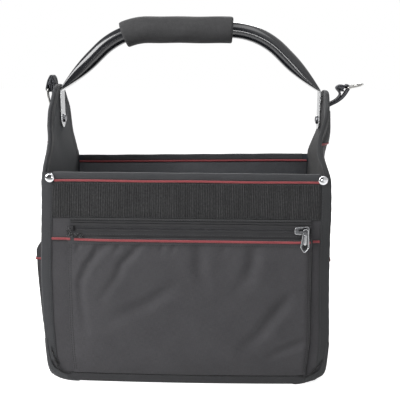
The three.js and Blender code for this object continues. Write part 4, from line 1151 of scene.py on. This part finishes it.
# the bar tack over the zip's left end: scattered short threads, kept low within the slider's reach
tack_count = 110
tack_width = 21
tack_height = 13
tack_foot = 212.5
slider_reach = -151.0
scatter = np.random.default_rng(11)
xs = zip_left - 4 + tack_width * scatter.random(tack_count)
heights = tack_foot + tack_height * scatter.random(tack_count) - 0.2 * (xs - zip_left)
heights = np.where(xs > slider_reach, np.minimum(heights, 212 + 4 * scatter.random(tack_count)), heights)
places = np.stack([xs, -106.2 - 0.4 * scatter.random(tack_count), heights], -1)
lean = 2.6 * scatter.random(tack_count)
headings = np.stack([np.sin(lean), 0 * lean, np.cos(lean)], -1)
outwards = np.tile([0.0, -1.0, 0.0], (tack_count, 1))
dark_threads = beads(settle(places[::2]), headings[::2], outwards[::2], 2.6, 1.2, 0.9)
pale_threads = beads(settle(places[1::2]), headings[1::2], outwards[1::2], 1.6, 0.9, 1.1)
make_piece("zip_bar_tack", *dark_threads, near_black_finish, "zip_tape")
make_piece("zip_bar_tack_top", *pale_threads, tack_finish, "zip_tape")

# Zip slider, puller and stops: die-cast and pressed metal with a dark nickel finish. The raised rims
# and the puller's rib are paler, a painted highlight. The puller hangs from the slider's bail through its
# eye.


def plated(name, dark, light, rough, wear_scale=0.5):
    """Plated metal with faint scuffs."""
    finish, tree, shader, lay, along, across = start_finish(name)
    place = Wire.node(tree, "ShaderNodeTexCoord", {}, {}, "Object")
    scuff = cloud(tree, place, 900.0 * wear_scale, (1, 1, 1), 5.0)
    cloudy = cloud(tree, place, 60.0)
    plug(
        tree,
        shader,
        Base_Color=blend_colours(tree, scuff * 0.7 + cloudy * 0.5 - 0.1, dark, light),
        Roughness=rough + 0.18 * (scuff - 0.4),
        Normal=bump(tree, scuff, 0.02),
        Metallic=1.0,
    )
    return finish


gunmetal_finish = plated("gunmetal_plating", tint(84, 85, 88), tint(150, 151, 154), 0.2)
stop_finish = plated("dull_plating", tint(22, 22, 23), tint(44, 44, 45), 0.45)
chrome_finish = plated("bright_nickel", tint(196, 197, 200), tint(232, 232, 234), 0.12, 0.3)


def softened(name, node, finish, body, width):
    """A pressed or cast metal part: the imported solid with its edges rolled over."""
    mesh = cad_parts[node].data.copy()
    mesh.name = name
    mesh.materials.clear()
    mesh.materials.append(finish)
    mesh.shade_smooth()
    mesh.set_sharp_from_angle(angle=crease_angle)
    piece = bpy.data.objects.new(name, mesh)
    bpy.context.collection.objects.link(piece)
    roll = piece.modifiers.new("rolled_edges", "BEVEL")
    roll.width = width * MM
    roll.segments = 3
    roll.limit_method = "ANGLE"
    roll.angle_limit = math.radians(35)
    roll.harden_normals = False
    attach(piece, body)
    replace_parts(piece, node)
    return piece


def hull(points):
    """The outline round a scatter of points in a plane, in turning order."""
    points = sorted(set(map(tuple, np.round(points, 3))))

    def half(run):
        kept = []
        for p in run:
            while len(kept) > 1:
                (ax, az), (bx, bz) = kept[-2], kept[-1]
                if (bx - ax) * (p[1] - az) - (bz - az) * (p[0] - ax) > 0:
                    break
                kept.pop()
            kept.append(p)
        return kept[:-1]

    return np.array(half(points) + half(points[::-1]))


def raised_rim(name, node, face, inset, radius, body):
    """A rounded rim cast round the front of a metal plate, a little inside its outline."""
    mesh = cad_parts[node].data
    points = np.array([vertex.co for vertex in mesh.vertices]) / MM
    front = points[np.abs(points[:, 1] + face) < 0.6]
    outline = hull(front[:, [0, 2]])
    closed = resample(np.vstack([outline, outline[:1]]), 0.5)[:-1]
    heading = unit(np.roll(closed, -2, axis=0) - np.roll(closed, 2, axis=0))
    inward = np.stack([-heading[:, 1], heading[:, 0]], -1)
    line = closed + inward * inset
    into_plate = np.stack([inward[:, 0], 0 * heading[:, 0], inward[:, 1]], -1)
    centre = np.stack([line[:, 0], np.full(len(line), -face), line[:, 1]], -1)
    turns = circle_turns(10)
    rings = (
        centre[:, None, :]
        + radius * np.cos(turns)[None, :, None] * into_plate[:, None, :]
        + 0.8 * radius * np.sin(turns)[None, :, None] * np.array([0.0, 1.0, 0.0])
    )
    rim_piece = run_piece(name, rings, highlight_plating, "gunmetal", body, True)
    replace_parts(rim_piece, node)
    return outline


softened("slider_body", "zip_slider", gunmetal_finish, "slider", 0.3)
softened("puller_plate", "zip_puller", gunmetal_finish, "puller", 0.35)
# painted highlight: a paler plating for the raised rims and the puller's rib
highlight_plating = plated("edge_highlight_plating", tint(150, 151, 153), tint(205, 206, 208), 0.16, 0.4)
puller_face = 111.3
puller_outline = raised_rim("puller_rim", "zip_puller", puller_face, 0.55, 0.5, "puller")
slider_face = 107.3
raised_rim("slider_rim", "zip_slider", slider_face, 0.5, 0.5, "slider")
pivot = np.array([157.4, 223.0])
tip = puller_outline[np.argmin(puller_outline[:, 1])]
hang = unit(tip - pivot)
rib_rings = 16
rib_sides = 12
rib_run = np.linspace(3.6, 18.6, rib_rings)
swell = np.sqrt(np.clip(1 - np.abs(np.linspace(-1, 1, rib_rings)) ** 6, 0.02, 1))
turns = circle_turns(rib_sides)
rings = []
for distance, size in zip(rib_run, swell):
    middle = pivot + hang * distance
    ring_x = middle[0] + (1.0 + 0.05 * distance) * size * np.cos(turns)
    ring_y = -puller_face - 0.55 * size * np.sin(turns)
    rings.append(np.stack([ring_x, ring_y, np.full(rib_sides, middle[1])], -1))
rib_piece = run_piece("puller_rib", np.array(rings), highlight_plating, "gunmetal", "puller")
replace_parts(rib_piece, "zip_puller")
for side_name in ("left", "right"):
    softened(f"{side_name}_zip_stop", f"zip_{side_name}_stop", stop_finish, "bag", 0.25)

# Sleeves: a flat pocket on the outside of each tongue, with a ribbed band for a hem and red
# piping below the band.

sleeve_low = 212.0
sleeve_high = 375.0
sleeve_band = 41.0
sleeve_rib = 2.2
sleeve_finish = webbing("sleeve_band_webbing", tint(58, 59, 60), tint(104, 105, 106), sleeve_rib)


def sleeve_sheet(side, low, high, lift, columns=44):
    rows = int((high - low) / 3)
    share, z = np.meshgrid(np.linspace(-1, 1, columns), np.linspace(low, high, rows))
    half = end_half_width(z) - tape_width - 0.4
    y = share * half
    edge = np.clip((half - np.abs(y)) / 7, 0, 1)
    swell = 1 - (1 - edge) ** 2.2
    mouth = 1.2 * ramp(300, 372, z) * (1 - share**2)
    out = half_long + 0.5 + (2.3 + mouth + lift) * swell + 0.3 * swell * np.sin(y / 13 + z / 27)
    return np.stack([side * out, y, z], -1)


for side_name, side in (("left", -1), ("right", 1)):
    front = settle(sleeve_sheet(side, sleeve_low, sleeve_high, 0.6))
    back = settle(sleeve_sheet(side, sleeve_low, sleeve_high, -0.5) - [side * 0.1, 0, 0])
    sleeve = sheet_piece(f"{side_name}_sleeve", front, back, cloth_finish, "cloth")
    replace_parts(sleeve, f"{side_name}_sleeve_pocket")
    band_foot = sleeve_high - sleeve_band
    outer = sleeve_sheet(side, band_foot, sleeve_high + 0.6, 2.0, 120)
    ribs = np.abs(np.sin(outer[..., 1] / sleeve_rib * math.pi)) ** 0.8
    outer[..., 0] += side * 0.5 * ribs
    inner = sleeve_sheet(side, band_foot, sleeve_high + 0.6, 0.75, 120)
    band = sheet_piece(f"{side_name}_sleeve_band", settle(outer), settle(inner), sleeve_finish, "webbing")
    height = band_foot - 2.3
    line = sleeve_sheet(side, height - 1.5, height + 1.5, 1.3, 60)[0] * [1, 1, 0] + [0, 0, height]
    piping_cord(f"{side_name}_sleeve_cord", f"{side_name}_sleeve_piping", settle(line), piping_radius_mm)

# End pockets: a bowed cloth panel on each end wall, deep on the left and nearly flat on the right.
# Gussets join its upright edges to the wall and slope up to it; the mouth has a hem and piping.

end_pocket_half = 86.5
mouth_height = 187.0
gusset_rise = 21.0
pocket_foot = 13.6
gusset_columns = 5
face_columns = 41
pocket_rows = 52
foot_depth = (2.1, 2.6)
end_depths = {"left": (10.0, 16.0), "right": (2.1, 5.0)}


def end_pocket_sheet(side, depths, wall):
    """Rows up the pocket; columns from the wall out round one gusset, across and back in."""
    face = [("face", share) for share in np.linspace(-1, 1, face_columns)]
    columns = [("in", -1)] * gusset_columns + face + [("out", 1)] * gusset_columns
    last_face = gusset_columns + face_columns - 1
    rows = []
    for t in np.linspace(0, 1, pocket_rows):
        ring = []
        for part, share in columns:
            index = len(ring)
            if part == "in":
                fold = index / gusset_columns
            elif part == "out":
                fold = 1 - (index - last_face) / gusset_columns
            else:
                fold = 1.0
            top = mouth_height + gusset_rise * (1 - fold)
            z = pocket_foot + t * (top - pocket_foot)
            climb = min((z - pocket_foot) / (mouth_height - pocket_foot), 1.0) ** 0.85
            edge = foot_depth[0] + (depths[0] - foot_depth[0]) * climb
            middle = foot_depth[1] + (depths[1] - foot_depth[1]) * climb
            bow = 1 - abs(share) ** 2.3
            out = (edge + (middle - edge) * bow) * fold
            sag = 1.4 * math.sin(fold * math.pi) * climb
            y = share * (end_pocket_half - sag - wall * fold)
            if part == "face":
                y = share * (end_pocket_half - 0.6 - wall)
            hem = 0.7 if wall == 0 and z > mouth_height - 11 and part == "face" else 0.0
            ring.append((side * (half_long + 0.5 + max(out - wall, 0.0) + hem), y, z))
        rows.append(ring)
    return np.array(rows)


# the left cord runs round onto the gusset, the right one ends on the face
cord_columns = {"left": (1, 49), "right": (7, 44)}
for side_name, side in (("left", -1), ("right", 1)):
    depths = end_depths[side_name]
    outer = end_pocket_sheet(side, depths, 0.0)
    inner = end_pocket_sheet(side, depths, 1.2)
    pocket = sheet_piece(f"{side_name}_pocket", settle(outer), settle(inner), cloth_finish, "cloth")
    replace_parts(pocket, f"{side_name}_end_pocket")
    span = 0.173 + 2 * depths[0] * MM
    height = mouth_height - 13.0
    face_heights = outer[:, outer.shape[1] // 2, 2]
    row = int(np.argmin(np.abs(face_heights - height)))
    first, last = cord_columns[side_name]
    line = outer[row, first:last] * [1, 1, 0] + [side * 0.9, 0, height]
    line = settle(resample(line, 2.0))
    piping_cord(f"{side_name}_pocket_cord", f"{side_name}_pocket_piping", line, piping_radius_mm)

# Rim rivets: four domed nickel caps that clench the rim's corners, each with a washer face on
# the inside, and two dark ones that hold the straps of the handle.


def lathe(place, direction, profile, sides=32):
    """A turned shape: (radius, distance along the direction) pairs from a place."""
    direction = np.array(direction, float)
    helper = np.array([0.0, 0.0, 1.0])
    first = np.cross(direction, helper)
    first /= np.linalg.norm(first)
    second = np.cross(direction, first)
    turns = circle_turns(sides)
    circle = np.cos(turns)[:, None] * first + np.sin(turns)[:, None] * second
    rings = [np.array(place) + direction * d + circle * max(r, 0.02) for r, d in profile]
    return run_mesh(np.array(rings))


def rivet_profile(cap, height, shank, grip, tail):
    """Radii and distances of a domed cap, its shank through the wall and its clenched tail."""
    dome = [
        (cap / 2 * math.sin(t), height * (0.2 + 0.8 * math.cos(t) ** 0.8))
        for t in np.linspace(0.02, 1.5, 12)
    ]
    lip = [(cap / 2 + 0.1, height * 0.12), (cap / 2 - 0.2, 0.0), (shank / 2, 0.0), (shank / 2, -grip)]
    return dome + lip + [(tail / 2, -grip), (tail / 2 - 0.3, -grip - 1.1), (0.1, -grip - 1.1)]


rim_rivet = (180.5, 102.0, 290.0)
strap_rivet = (183.2, 0.0, 361.0)
for side_name, side in (("left", -1), ("right", 1)):
    for face_name, face in (("front", -1), ("back", 1)):
        place = settle(np.array(rim_rivet) * [side, face, 1])
        profile = rivet_profile(12.4, 2.9, 4, 4.6, 8)
        parts = lathe(place, (0, face, 0), profile)
        rivet = make_piece(f"{face_name}_{side_name}_cap", *parts, chrome_finish, "chrome")
        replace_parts(rivet, f"{face_name}_{side_name}_rivet")
    place = np.array(strap_rivet) * [side, 1, 1]
    parts = lathe(place, (-side, 0, 0), rivet_profile(12, 3.4, 6, 7.6, 13))
    rivet = make_piece(f"{side_name}_strap_rivet", *parts, gunmetal_finish, "chrome")
    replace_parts(rivet, f"{side_name}_handle_rivet")

# Handle: one steel tube bent over the bag and painted gloss black. Its ends are pressed flat
# into straps, drawn as pale steel, kinked at the tops of the tongues and riveted inside them.

strap_x = 184.75
strap_tip = 348.0
kink_height = 401.5
kink_radius = 6.0
handle_top = 485.5
arm_slope = math.radians(44)
bend_radius = 105.0
tube_diameter = 22.0
strap_thickness = 2.5
strap_width = 22.0
flatten_length = 64.0

arm_reach = (handle_top - kink_height) / math.tan(arm_slope)
handle_line = rounded(
    [
        (-strap_x, strap_tip, 0),
        (-strap_x, kink_height, kink_radius),
        (-strap_x + arm_reach, handle_top, bend_radius),
        (strap_x - arm_reach, handle_top, bend_radius),
        (strap_x, kink_height, kink_radius),
        (strap_x, strap_tip, 0),
    ],
    1.5,
)
handle_steps = np.linalg.norm(np.diff(handle_line, axis=0), axis=-1)
handle_run = np.concatenate([[0.0], np.cumsum(handle_steps)])
handle_length = handle_run[-1]
strap_run = kink_height - strap_tip


def handle_place(distance):
    """The middle of the tube at a distance along it, and its heading there."""

    def middle(run):
        x, z = (np.interp(run, handle_run, handle_line[:, k]) for k in (0, 1))
        return np.stack([x, 0 * x, z], -1)

    return middle(distance), unit(middle(distance + 2) - middle(distance - 2))


def tube_rings(distances, sides=48):
    turns = circle_turns(sides)
    rings = []
    centres, headings = handle_place(distances)
    for distance, centre, heading in zip(distances, centres, headings):
        from_end = min(distance, handle_length - distance)
        share = min(max((from_end - strap_run) / flatten_length, 0.0), 1.0)
        roundness = math.sin(share * math.pi / 2)
        thickness = strap_thickness + (tube_diameter - strap_thickness) * roundness
        full_width = strap_width + (tube_diameter - strap_width) * roundness
        near_end = max(strap_width / 2 - from_end, 0.0)
        width = min(full_width, 2 * math.sqrt(max((strap_width / 2) ** 2 - near_end**2, 0.3)))
        power = 2 / (6 - 4 * roundness)
        across = np.array([-heading[2], 0.0, heading[0]])
        ring = []
        for turn in turns:
            c, s = math.cos(turn), math.sin(turn)
            u = math.copysign(abs(c) ** power, c) * width / 2
            v = math.copysign(abs(s) ** power, s) * thickness / 2
            ring.append(centre + np.array([0.0, u, 0.0]) + across * v)
        rings.append(ring)
    return np.array(rings)


def mapped(value, low, high, start, end, steps="LINEAR"):
    """The value carried over from the span low to high to the span start to end."""
    sockets = {0: value, 1: low, 2: high, 3: start, 4: end}
    return Wire.node(value.tree, "ShaderNodeMapRange", {"interpolation_type": steps}, sockets)


paint_finish, tree, shader, lay, along, across = start_finish("gloss_black_paint")
place = Wire.node(tree, "ShaderNodeTexCoord", {}, {}, "Object")
# below the kink the straps are drawn as pale, mostly metallic steel
pale_strap = mapped(part_of(place, "Z"), 0.398, 0.405, 1.0, 0.0)
ripple = cloud(tree, place, 90.0, (1, 1, 1), 2.0)
rub = cloud(tree, place, 700.0, (1, 1, 1), 4.0)
paint = blend_colours(tree, ripple, tint(24, 25, 28), tint(36, 37, 41))
steel = blend_colours(tree, rub, tint(186, 187, 189), tint(214, 215, 216))
plug(
    tree,
    shader,
    Base_Color=blend_colours(tree, pale_strap, paint, steel),
    Roughness=0.16 + 0.02 * rub + 0.1 * pale_strap,
    Metallic=0.85 * pale_strap,
    Normal=bump(tree, ripple, 0.004),
    IOR=1.68,
    Coat_Weight=0.25,
    Coat_Roughness=0.06,
)

tip_run = strap_width / 2 * (1 - np.cos(np.linspace(0.12, math.pi / 2, 12)))
half_run = np.concatenate([tip_run, np.arange(strap_width / 2 + 2, handle_length / 2, 2.0)])
distances = np.concatenate([half_run, (handle_length - half_run)[::-1]])
tube = run_piece("steel_tube", tube_rings(distances), paint_finish, "black_paint", "handle")
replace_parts(tube, "handle_tube")

# Grip: a sleeve of closed-cell foam pushed over the middle of the tube, slightly crushed and
# uneven at its ends.

grip_radius = 18.0
grip_length = 155.0
grip_shift = -17.5
foam_finish, tree, shader, lay, along, across = start_finish("closed_cell_foam")
place = Wire.node(tree, "ShaderNodeTexCoord", {}, {}, "Object")
cells = Wire.node(tree, "ShaderNodeTexVoronoi", {}, {"Vector": place, "Scale": 1100.0}, "Distance")
mottle = cloud(tree, place, 160.0, (1, 1, 1), 4.0)
share = 0.2 + 0.6 * cells + 0.6 * (mottle - 0.5)
plug(
    tree,
    shader,
    Base_Color=blend_colours(tree, share, tint(50, 50, 51), tint(74, 74, 75)),
    Roughness=0.92 - 0.08 * mottle,
    Normal=bump(tree, cells + mottle, 0.18),
    Sheen_Weight=0.1,
    Specular_IOR_Level=0.25,
)
start = handle_length / 2 + grip_shift - grip_length / 2
rounding = [(0.35, 6.4), (0.0, 3.6), (0.0, 2.6), (0.5, 1.0), (1.6, 0.25), (3.4, 0.0)]
stations = [(start + d, grip_radius - drop) for d, drop in rounding]
stations += [(start + d, grip_radius) for d in np.arange(7, grip_length - 6, 3.0)]
stations += [(start + grip_length - d, grip_radius - drop) for d, drop in reversed(rounding)]
turns = circle_turns(56)
centres, headings = handle_place(np.array([distance for distance, radius in stations]))
rings = []
for (distance, radius), centre, heading in zip(stations, centres, headings):
    across_tube = np.array([-heading[2], 0.0, heading[0]])
    dents = 0.22 * np.sin(3 * turns + distance / 9) + 0.18 * np.sin(2 * turns - distance / 23)
    size = radius + dents + 0.3 * math.sin((distance - start) / grip_length * math.pi)
    ring = centre + np.cos(turns)[:, None] * size[:, None] * np.array([0.0, 1.0, 0.0])
    rings.append(ring + np.sin(turns)[:, None] * size[:, None] * across_tube)
grip = run_piece("grip_sleeve", np.array(rings), foam_finish, "foam", "handle")
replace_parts(grip, "foam_grip")

# Ring tabs and D-rings: stiff ribbed webbing, folded round the straight side of a bent wire ring
# and sewn to the outside of each tongue. The left one arches over; the right one stands out.

wire_diameter = 3.2
tab_half = 12.5
tab_rib = 2.6
tab_finish = webbing("tab_webbing", tint(48, 49, 53), tint(96, 97, 102), tab_rib, 0.2)
left_eye = np.array([11.0, -3.2])
right_eye = np.array([31.7, 0.6])


def smooth_route(points, step=0.8):
    """A smooth line through a few points."""
    points = np.array(points, float)
    padded_points = np.concatenate([2 * points[:1] - points[1:2], points, 2 * points[-1:] - points[-2:-1]])
    line = []
    for a, b, c, d in zip(padded_points, padded_points[1:], padded_points[2:], padded_points[3:]):
        for t in np.linspace(0, 1, 12, endpoint=False):
            line.append(0.5 * (2 * b + (c - a) * t + (2 * a - 5 * b + 4 * c - d) * t * t
                               + (3 * b - a - 3 * c + d) * t**3))
    line.append(points[-1])
    return resample(np.array(line), step)


def strap_rings(side, route, thickness, twist=0.0):
    """Webbing seen edge on along a route out from the tongue, with ribs running its length."""
    line = smooth_route(route)
    heading = unit(np.gradient(line, axis=0))
    normal = np.stack([-heading[:, 1], heading[:, 0]], -1)
    across = np.linspace(-1, 1, 36)
    ribs = 0.28 * np.abs(np.sin(across * tab_half / tab_rib * math.pi))
    edge = np.sqrt(np.clip(1 - np.abs(across) ** 10, 0, 1))
    half = (thickness / 2 - 0.25 + ribs) * edge
    rings = []
    for (out, rise), (n_out, n_rise) in zip(line, normal):
        upper = [(out + h * n_out, s * tab_half, rise + h * n_rise) for s, h in zip(across, half)]
        under = [(out - h * n_out, s * tab_half, rise - h * n_rise) for s, h in zip(across, half)]
        rings.append(upper + under[::-1])
    rings = np.array(rings)
    rings[..., 0] += twist * rings[..., 1] * ramp(2, 14, rings[..., 0])
    return (rings + [half_long, 0, tongue_top]) * [side, 1, 1]


def round_eye(eye, start_angle, end_angle, radius=3.2, count=9):
    """Points where the webbing passes round the ring's straight side."""
    angles = np.radians(np.linspace(start_angle, end_angle, count))
    return [(eye[0] + radius * math.cos(a), eye[1] + radius * math.sin(a)) for a in angles]


left_route = [(3.1, -27), (3.1, -12), (3.1, 0), (3.7, 8), (5.0, 13), (7.0, 15.3), (9.0, 12.6), (11.6, 7)]
left_route += round_eye(left_eye, 25, -190)
left_back = round_eye(left_eye, 120, 150, 3.2, 3)
left_back += [(8.9, 3.5), (7.6, 5.5), (6.3, 2.0), (5.7, -5.0), (5.6, -14.0)]
left_fill = [(7.0, 12.4), (7.3, 9.6), (8.2, 7.0), (9.4, 4.8), (10.2, 2.8)]
right_route = [(3.4, -27), (4.6, -25.4), (8.5, -23.8), (18.5, -18.8), (25.6, -13.6), (30.4, -8.0)]
right_route += round_eye(right_eye, -25, 100)
right_curl = round_eye(right_eye, 100, 130, 3.2, 3)
right_curl += [(24.0, 4.1), (20.4, 3.2), (17.9, 0.6), (20.0, -2.6), (23.0, -6.4), (22.8, -10.4)]
right_curl += [(18, -15.9), (8.5, -21.4)]
right_fill = [(19.6, 0.6), (22.6, 0.9), (25.8, 0.4), (28.0, -0.6)]
right_under = [(22.0, -3.6), (24.8, -3.2), (28.2, -3.4)]
tab_routes = {
    "left": (-1, 0.0, [(left_route, 2.6), (left_back, 2.0), (left_fill, 4.4)]),
    "right": (1, 0.11, [(right_route, 4.0), (right_curl, 2.3), (right_fill, 5.6), (right_under, 2.4)]),
}
for side_name, (side, twist, routes) in tab_routes.items():
    parts = [run_mesh(strap_rings(side, route, thickness, twist)) for route, thickness in routes]
    tab = make_piece(f"{side_name}_tab", *join_meshes(parts), tab_finish, "webbing")
    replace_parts(tab, f"{side_name}_ring_tab")

ring_finish = plated("ring_nickel", tint(118, 118, 116), tint(184, 183, 180), 0.18, 0.3)
ring_ease = 2.0
ring_half = (2 * tab_half + ring_ease + wire_diameter) / 2
ring_depth = 23.0
ring_corners = [
    (0, 0, 0),
    (ring_half, 0, 2.2),
    (ring_half, ring_depth, ring_half * 0.95),
    (-ring_half, ring_depth, ring_half * 0.95),
    (-ring_half, 0, 2.2),
    (0, 0, 0),
]
ring_line = rounded(ring_corners, 1.0)[:-1]
for side_name, side, eye, angle in (("left", -1, left_eye, -94.0), ("right", 1, right_eye, 12.0)):
    turn = side * math.radians(90 - angle)
    flat = np.stack([0 * ring_line[:, 0], ring_line[:, 0], ring_line[:, 1]], -1)
    heading = unit(np.roll(flat, -1, axis=0) - np.roll(flat, 1, axis=0))
    normal = np.cross(heading, [1.0, 0.0, 0.0])
    turns = circle_turns(16)
    rings = flat[:, None, :] + wire_diameter / 2 * (
        np.cos(turns)[None, :, None] * normal[:, None, :]
        + np.sin(turns)[None, :, None] * np.array([1.0, 0.0, 0.0])
    )
    x, z = rings[..., 0].copy(), rings[..., 2].copy()
    rings[..., 0] = x * math.cos(turn) + z * math.sin(turn) + side * (half_long + eye[0])
    rings[..., 2] = z * math.cos(turn) - x * math.sin(turn) + tongue_top + eye[1]
    ring = run_piece(f"{side_name}_wire_ring", rings, ring_finish, "chrome", f"{side_name}_ring", True)
    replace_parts(ring, f"{side_name}_d_ring")

# Studio: a pale floor and an open white surround. The main soft lamp stands at the left, weaker
# ones in front, above, behind and at the right, and a small one low in front.


def rays(tree):
    """What looks: the camera itself, a reflection, or light that passes through something."""
    kinds = ("Camera", "Glossy", "Transmission")
    return [Wire.node(tree, "ShaderNodeLightPath", {}, {}, f"Is {kind} Ray") for kind in kinds]


floor_size = 30.0
floor_drop = 0.0004
floor_mesh = bpy.data.meshes.new("studio_floor")
s = floor_size / 2
floor_mesh.from_pydata([(-s, -s, 0), (s, -s, 0), (s, s, 0), (-s, s, 0)], [], [(0, 1, 2, 3)])
floor = bpy.data.objects.new("studio_floor", floor_mesh)
floor.location.z = -floor_drop
bpy.context.collection.objects.link(floor)
floor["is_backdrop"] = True
floor_finish = bpy.data.materials.new("pale_floor")
floor_finish.use_nodes = True
tree = floor_finish.node_tree
seen, mirrored, through = rays(tree)
spot = Wire.node(tree, "ShaderNodeNewGeometry", {}, {}, "Position")
behind = mapped(part_of(spot, "Y"), -0.9, -0.45, 0.05, 0.8)
beside = mapped(part_of(spot, "X"), 0.25, 0.5, 0.0, 0.8)
shares = seen + behind.math("MAXIMUM", behind, beside) * mirrored + through
shown = shares.math("MINIMUM", shares, 1.0)
near = mapped(part_of(spot, "Y"), -0.9, -0.45, 0.7, 0.0)
shade = blend_colours(tree, near * mirrored, tint(205, 205, 205), tint(40, 40, 40))
glow = Wire.node(tree, "ShaderNodeEmission", {}, {"Color": (1, 1, 1, 1), "Strength": 0.93})
mat = Wire.node(tree, "ShaderNodeBsdfDiffuse", {}, {"Color": tint(225, 225, 225)})
both = Wire.node(tree, "ShaderNodeAddShader", {}, {0: glow, 1: mat})
plain = Wire.node(tree, "ShaderNodeBsdfDiffuse", {}, {"Color": shade})
mixed = Wire.node(tree, "ShaderNodeMixShader", {}, {0: shown, 1: plain, 2: both})
tree.links.new(mixed.socket, tree.nodes["Material Output"].inputs["Surface"])
floor_mesh.materials.append(floor_finish)

fill_strength = 0.17
surround = bpy.data.worlds.new("studio_surround")
bpy.context.scene.world = surround
surround.use_nodes = True
tree = surround.node_tree
seen, mirrored, through = rays(tree)
toward = Wire.node(tree, "ShaderNodeTexCoord", {}, {}, "Generated")
toward_x, toward_y, toward_z = [part_of(toward, axis) for axis in "XYZ"]
open_back = mapped(toward_y - 0.1 * toward_z, -0.75, -0.1, 0.06, 0.72, "SMOOTHSTEP")
open_right = mapped(toward_x, 0.02, 0.25, 0.0, 0.7, "SMOOTHSTEP")
low_back = mapped(toward_z, 0.1, 0.5, 1.0, 0.3)
open_side = open_back.math("MAXIMUM", open_back * low_back, open_right)
glow = Wire.node(tree, "ShaderNodeBackground", {}, {"Color": (1, 1, 1, 1), "Strength": 1.0})
room = Wire.node(tree, "ShaderNodeBackground", {}, {"Color": (1, 1, 1, 1), "Strength": open_side})
fill = Wire.node(tree, "ShaderNodeBackground", {}, {"Color": (1, 1, 1, 1), "Strength": fill_strength})
unseen = Wire.node(tree, "ShaderNodeMixShader", {}, {0: mirrored, 1: fill, 2: room})
shown = (seen + through).math("MINIMUM", seen + through, 1.0)
mixed = Wire.node(tree, "ShaderNodeMixShader", {}, {0: shown, 1: unseen, 2: glow})
tree.links.new(mixed.socket, tree.nodes["World Output"].inputs["Surface"])

# each lamp's name, place and width in metres, and power in watts
lamps = [
    ("left_softbox", (-1.4, -0.9, 1.1), 1.2, 37.0),
    ("front_softbox", (-0.6, -1.7, 1.8), 1.2, 8.0),
    ("top_softbox", (0.2, -0.7, 1.8), 1.2, 8.0),
    ("small_lamp", (0.07, -1.2, 0.25), 0.16, 0.8),
    ("rear_softbox", (0.0, 1.6, 1.5), 1.0, 26.0),
    ("right_softbox", (1.5, 0.6, 0.15), 0.8, 6.0),
]
lamp_target = (0, 0, 0.25)
for name, place, size, power in lamps:
    light = bpy.data.lights.new(name, "AREA")
    light.shape = "SQUARE"
    light.size = size
    light.energy = power
    lamp = bpy.data.objects.new(name, light)
    lamp.location = place
    aim = np.array(lamp_target) - np.array(place)
    lamp.rotation_euler = (
        math.atan2(math.hypot(aim[0], aim[1]), -aim[2]),
        0,
        math.atan2(aim[1], aim[0]) - math.pi / 2,
    )
    bpy.context.collection.objects.link(lamp)

# Camera: in front of the bag, a little right of its middle and above its rim, looking slightly
# down.

camera_place = (0.04089, -0.89432, 0.42586)
camera_turn = 0.02869
camera_tilt = 0.20354
camera_roll = 0.00525
camera_lens = 55.303
lens = bpy.data.cameras.new("camera")
lens.lens = camera_lens
lens.sensor_width = 36.0
camera = bpy.data.objects.new("camera", lens)
camera.matrix_world = (
    Matrix.Translation(camera_place)
    @ Matrix.Rotation(camera_turn, 4, "Z")
    @ Matrix.Rotation(math.pi / 2 - camera_tilt, 4, "X")
    @ Matrix.Rotation(camera_roll, 4, "Z")
)
bpy.context.collection.objects.link(camera)
bpy.context.scene.camera = camera
bpy.context.scene.view_settings.view_transform = "Standard"

low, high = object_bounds()
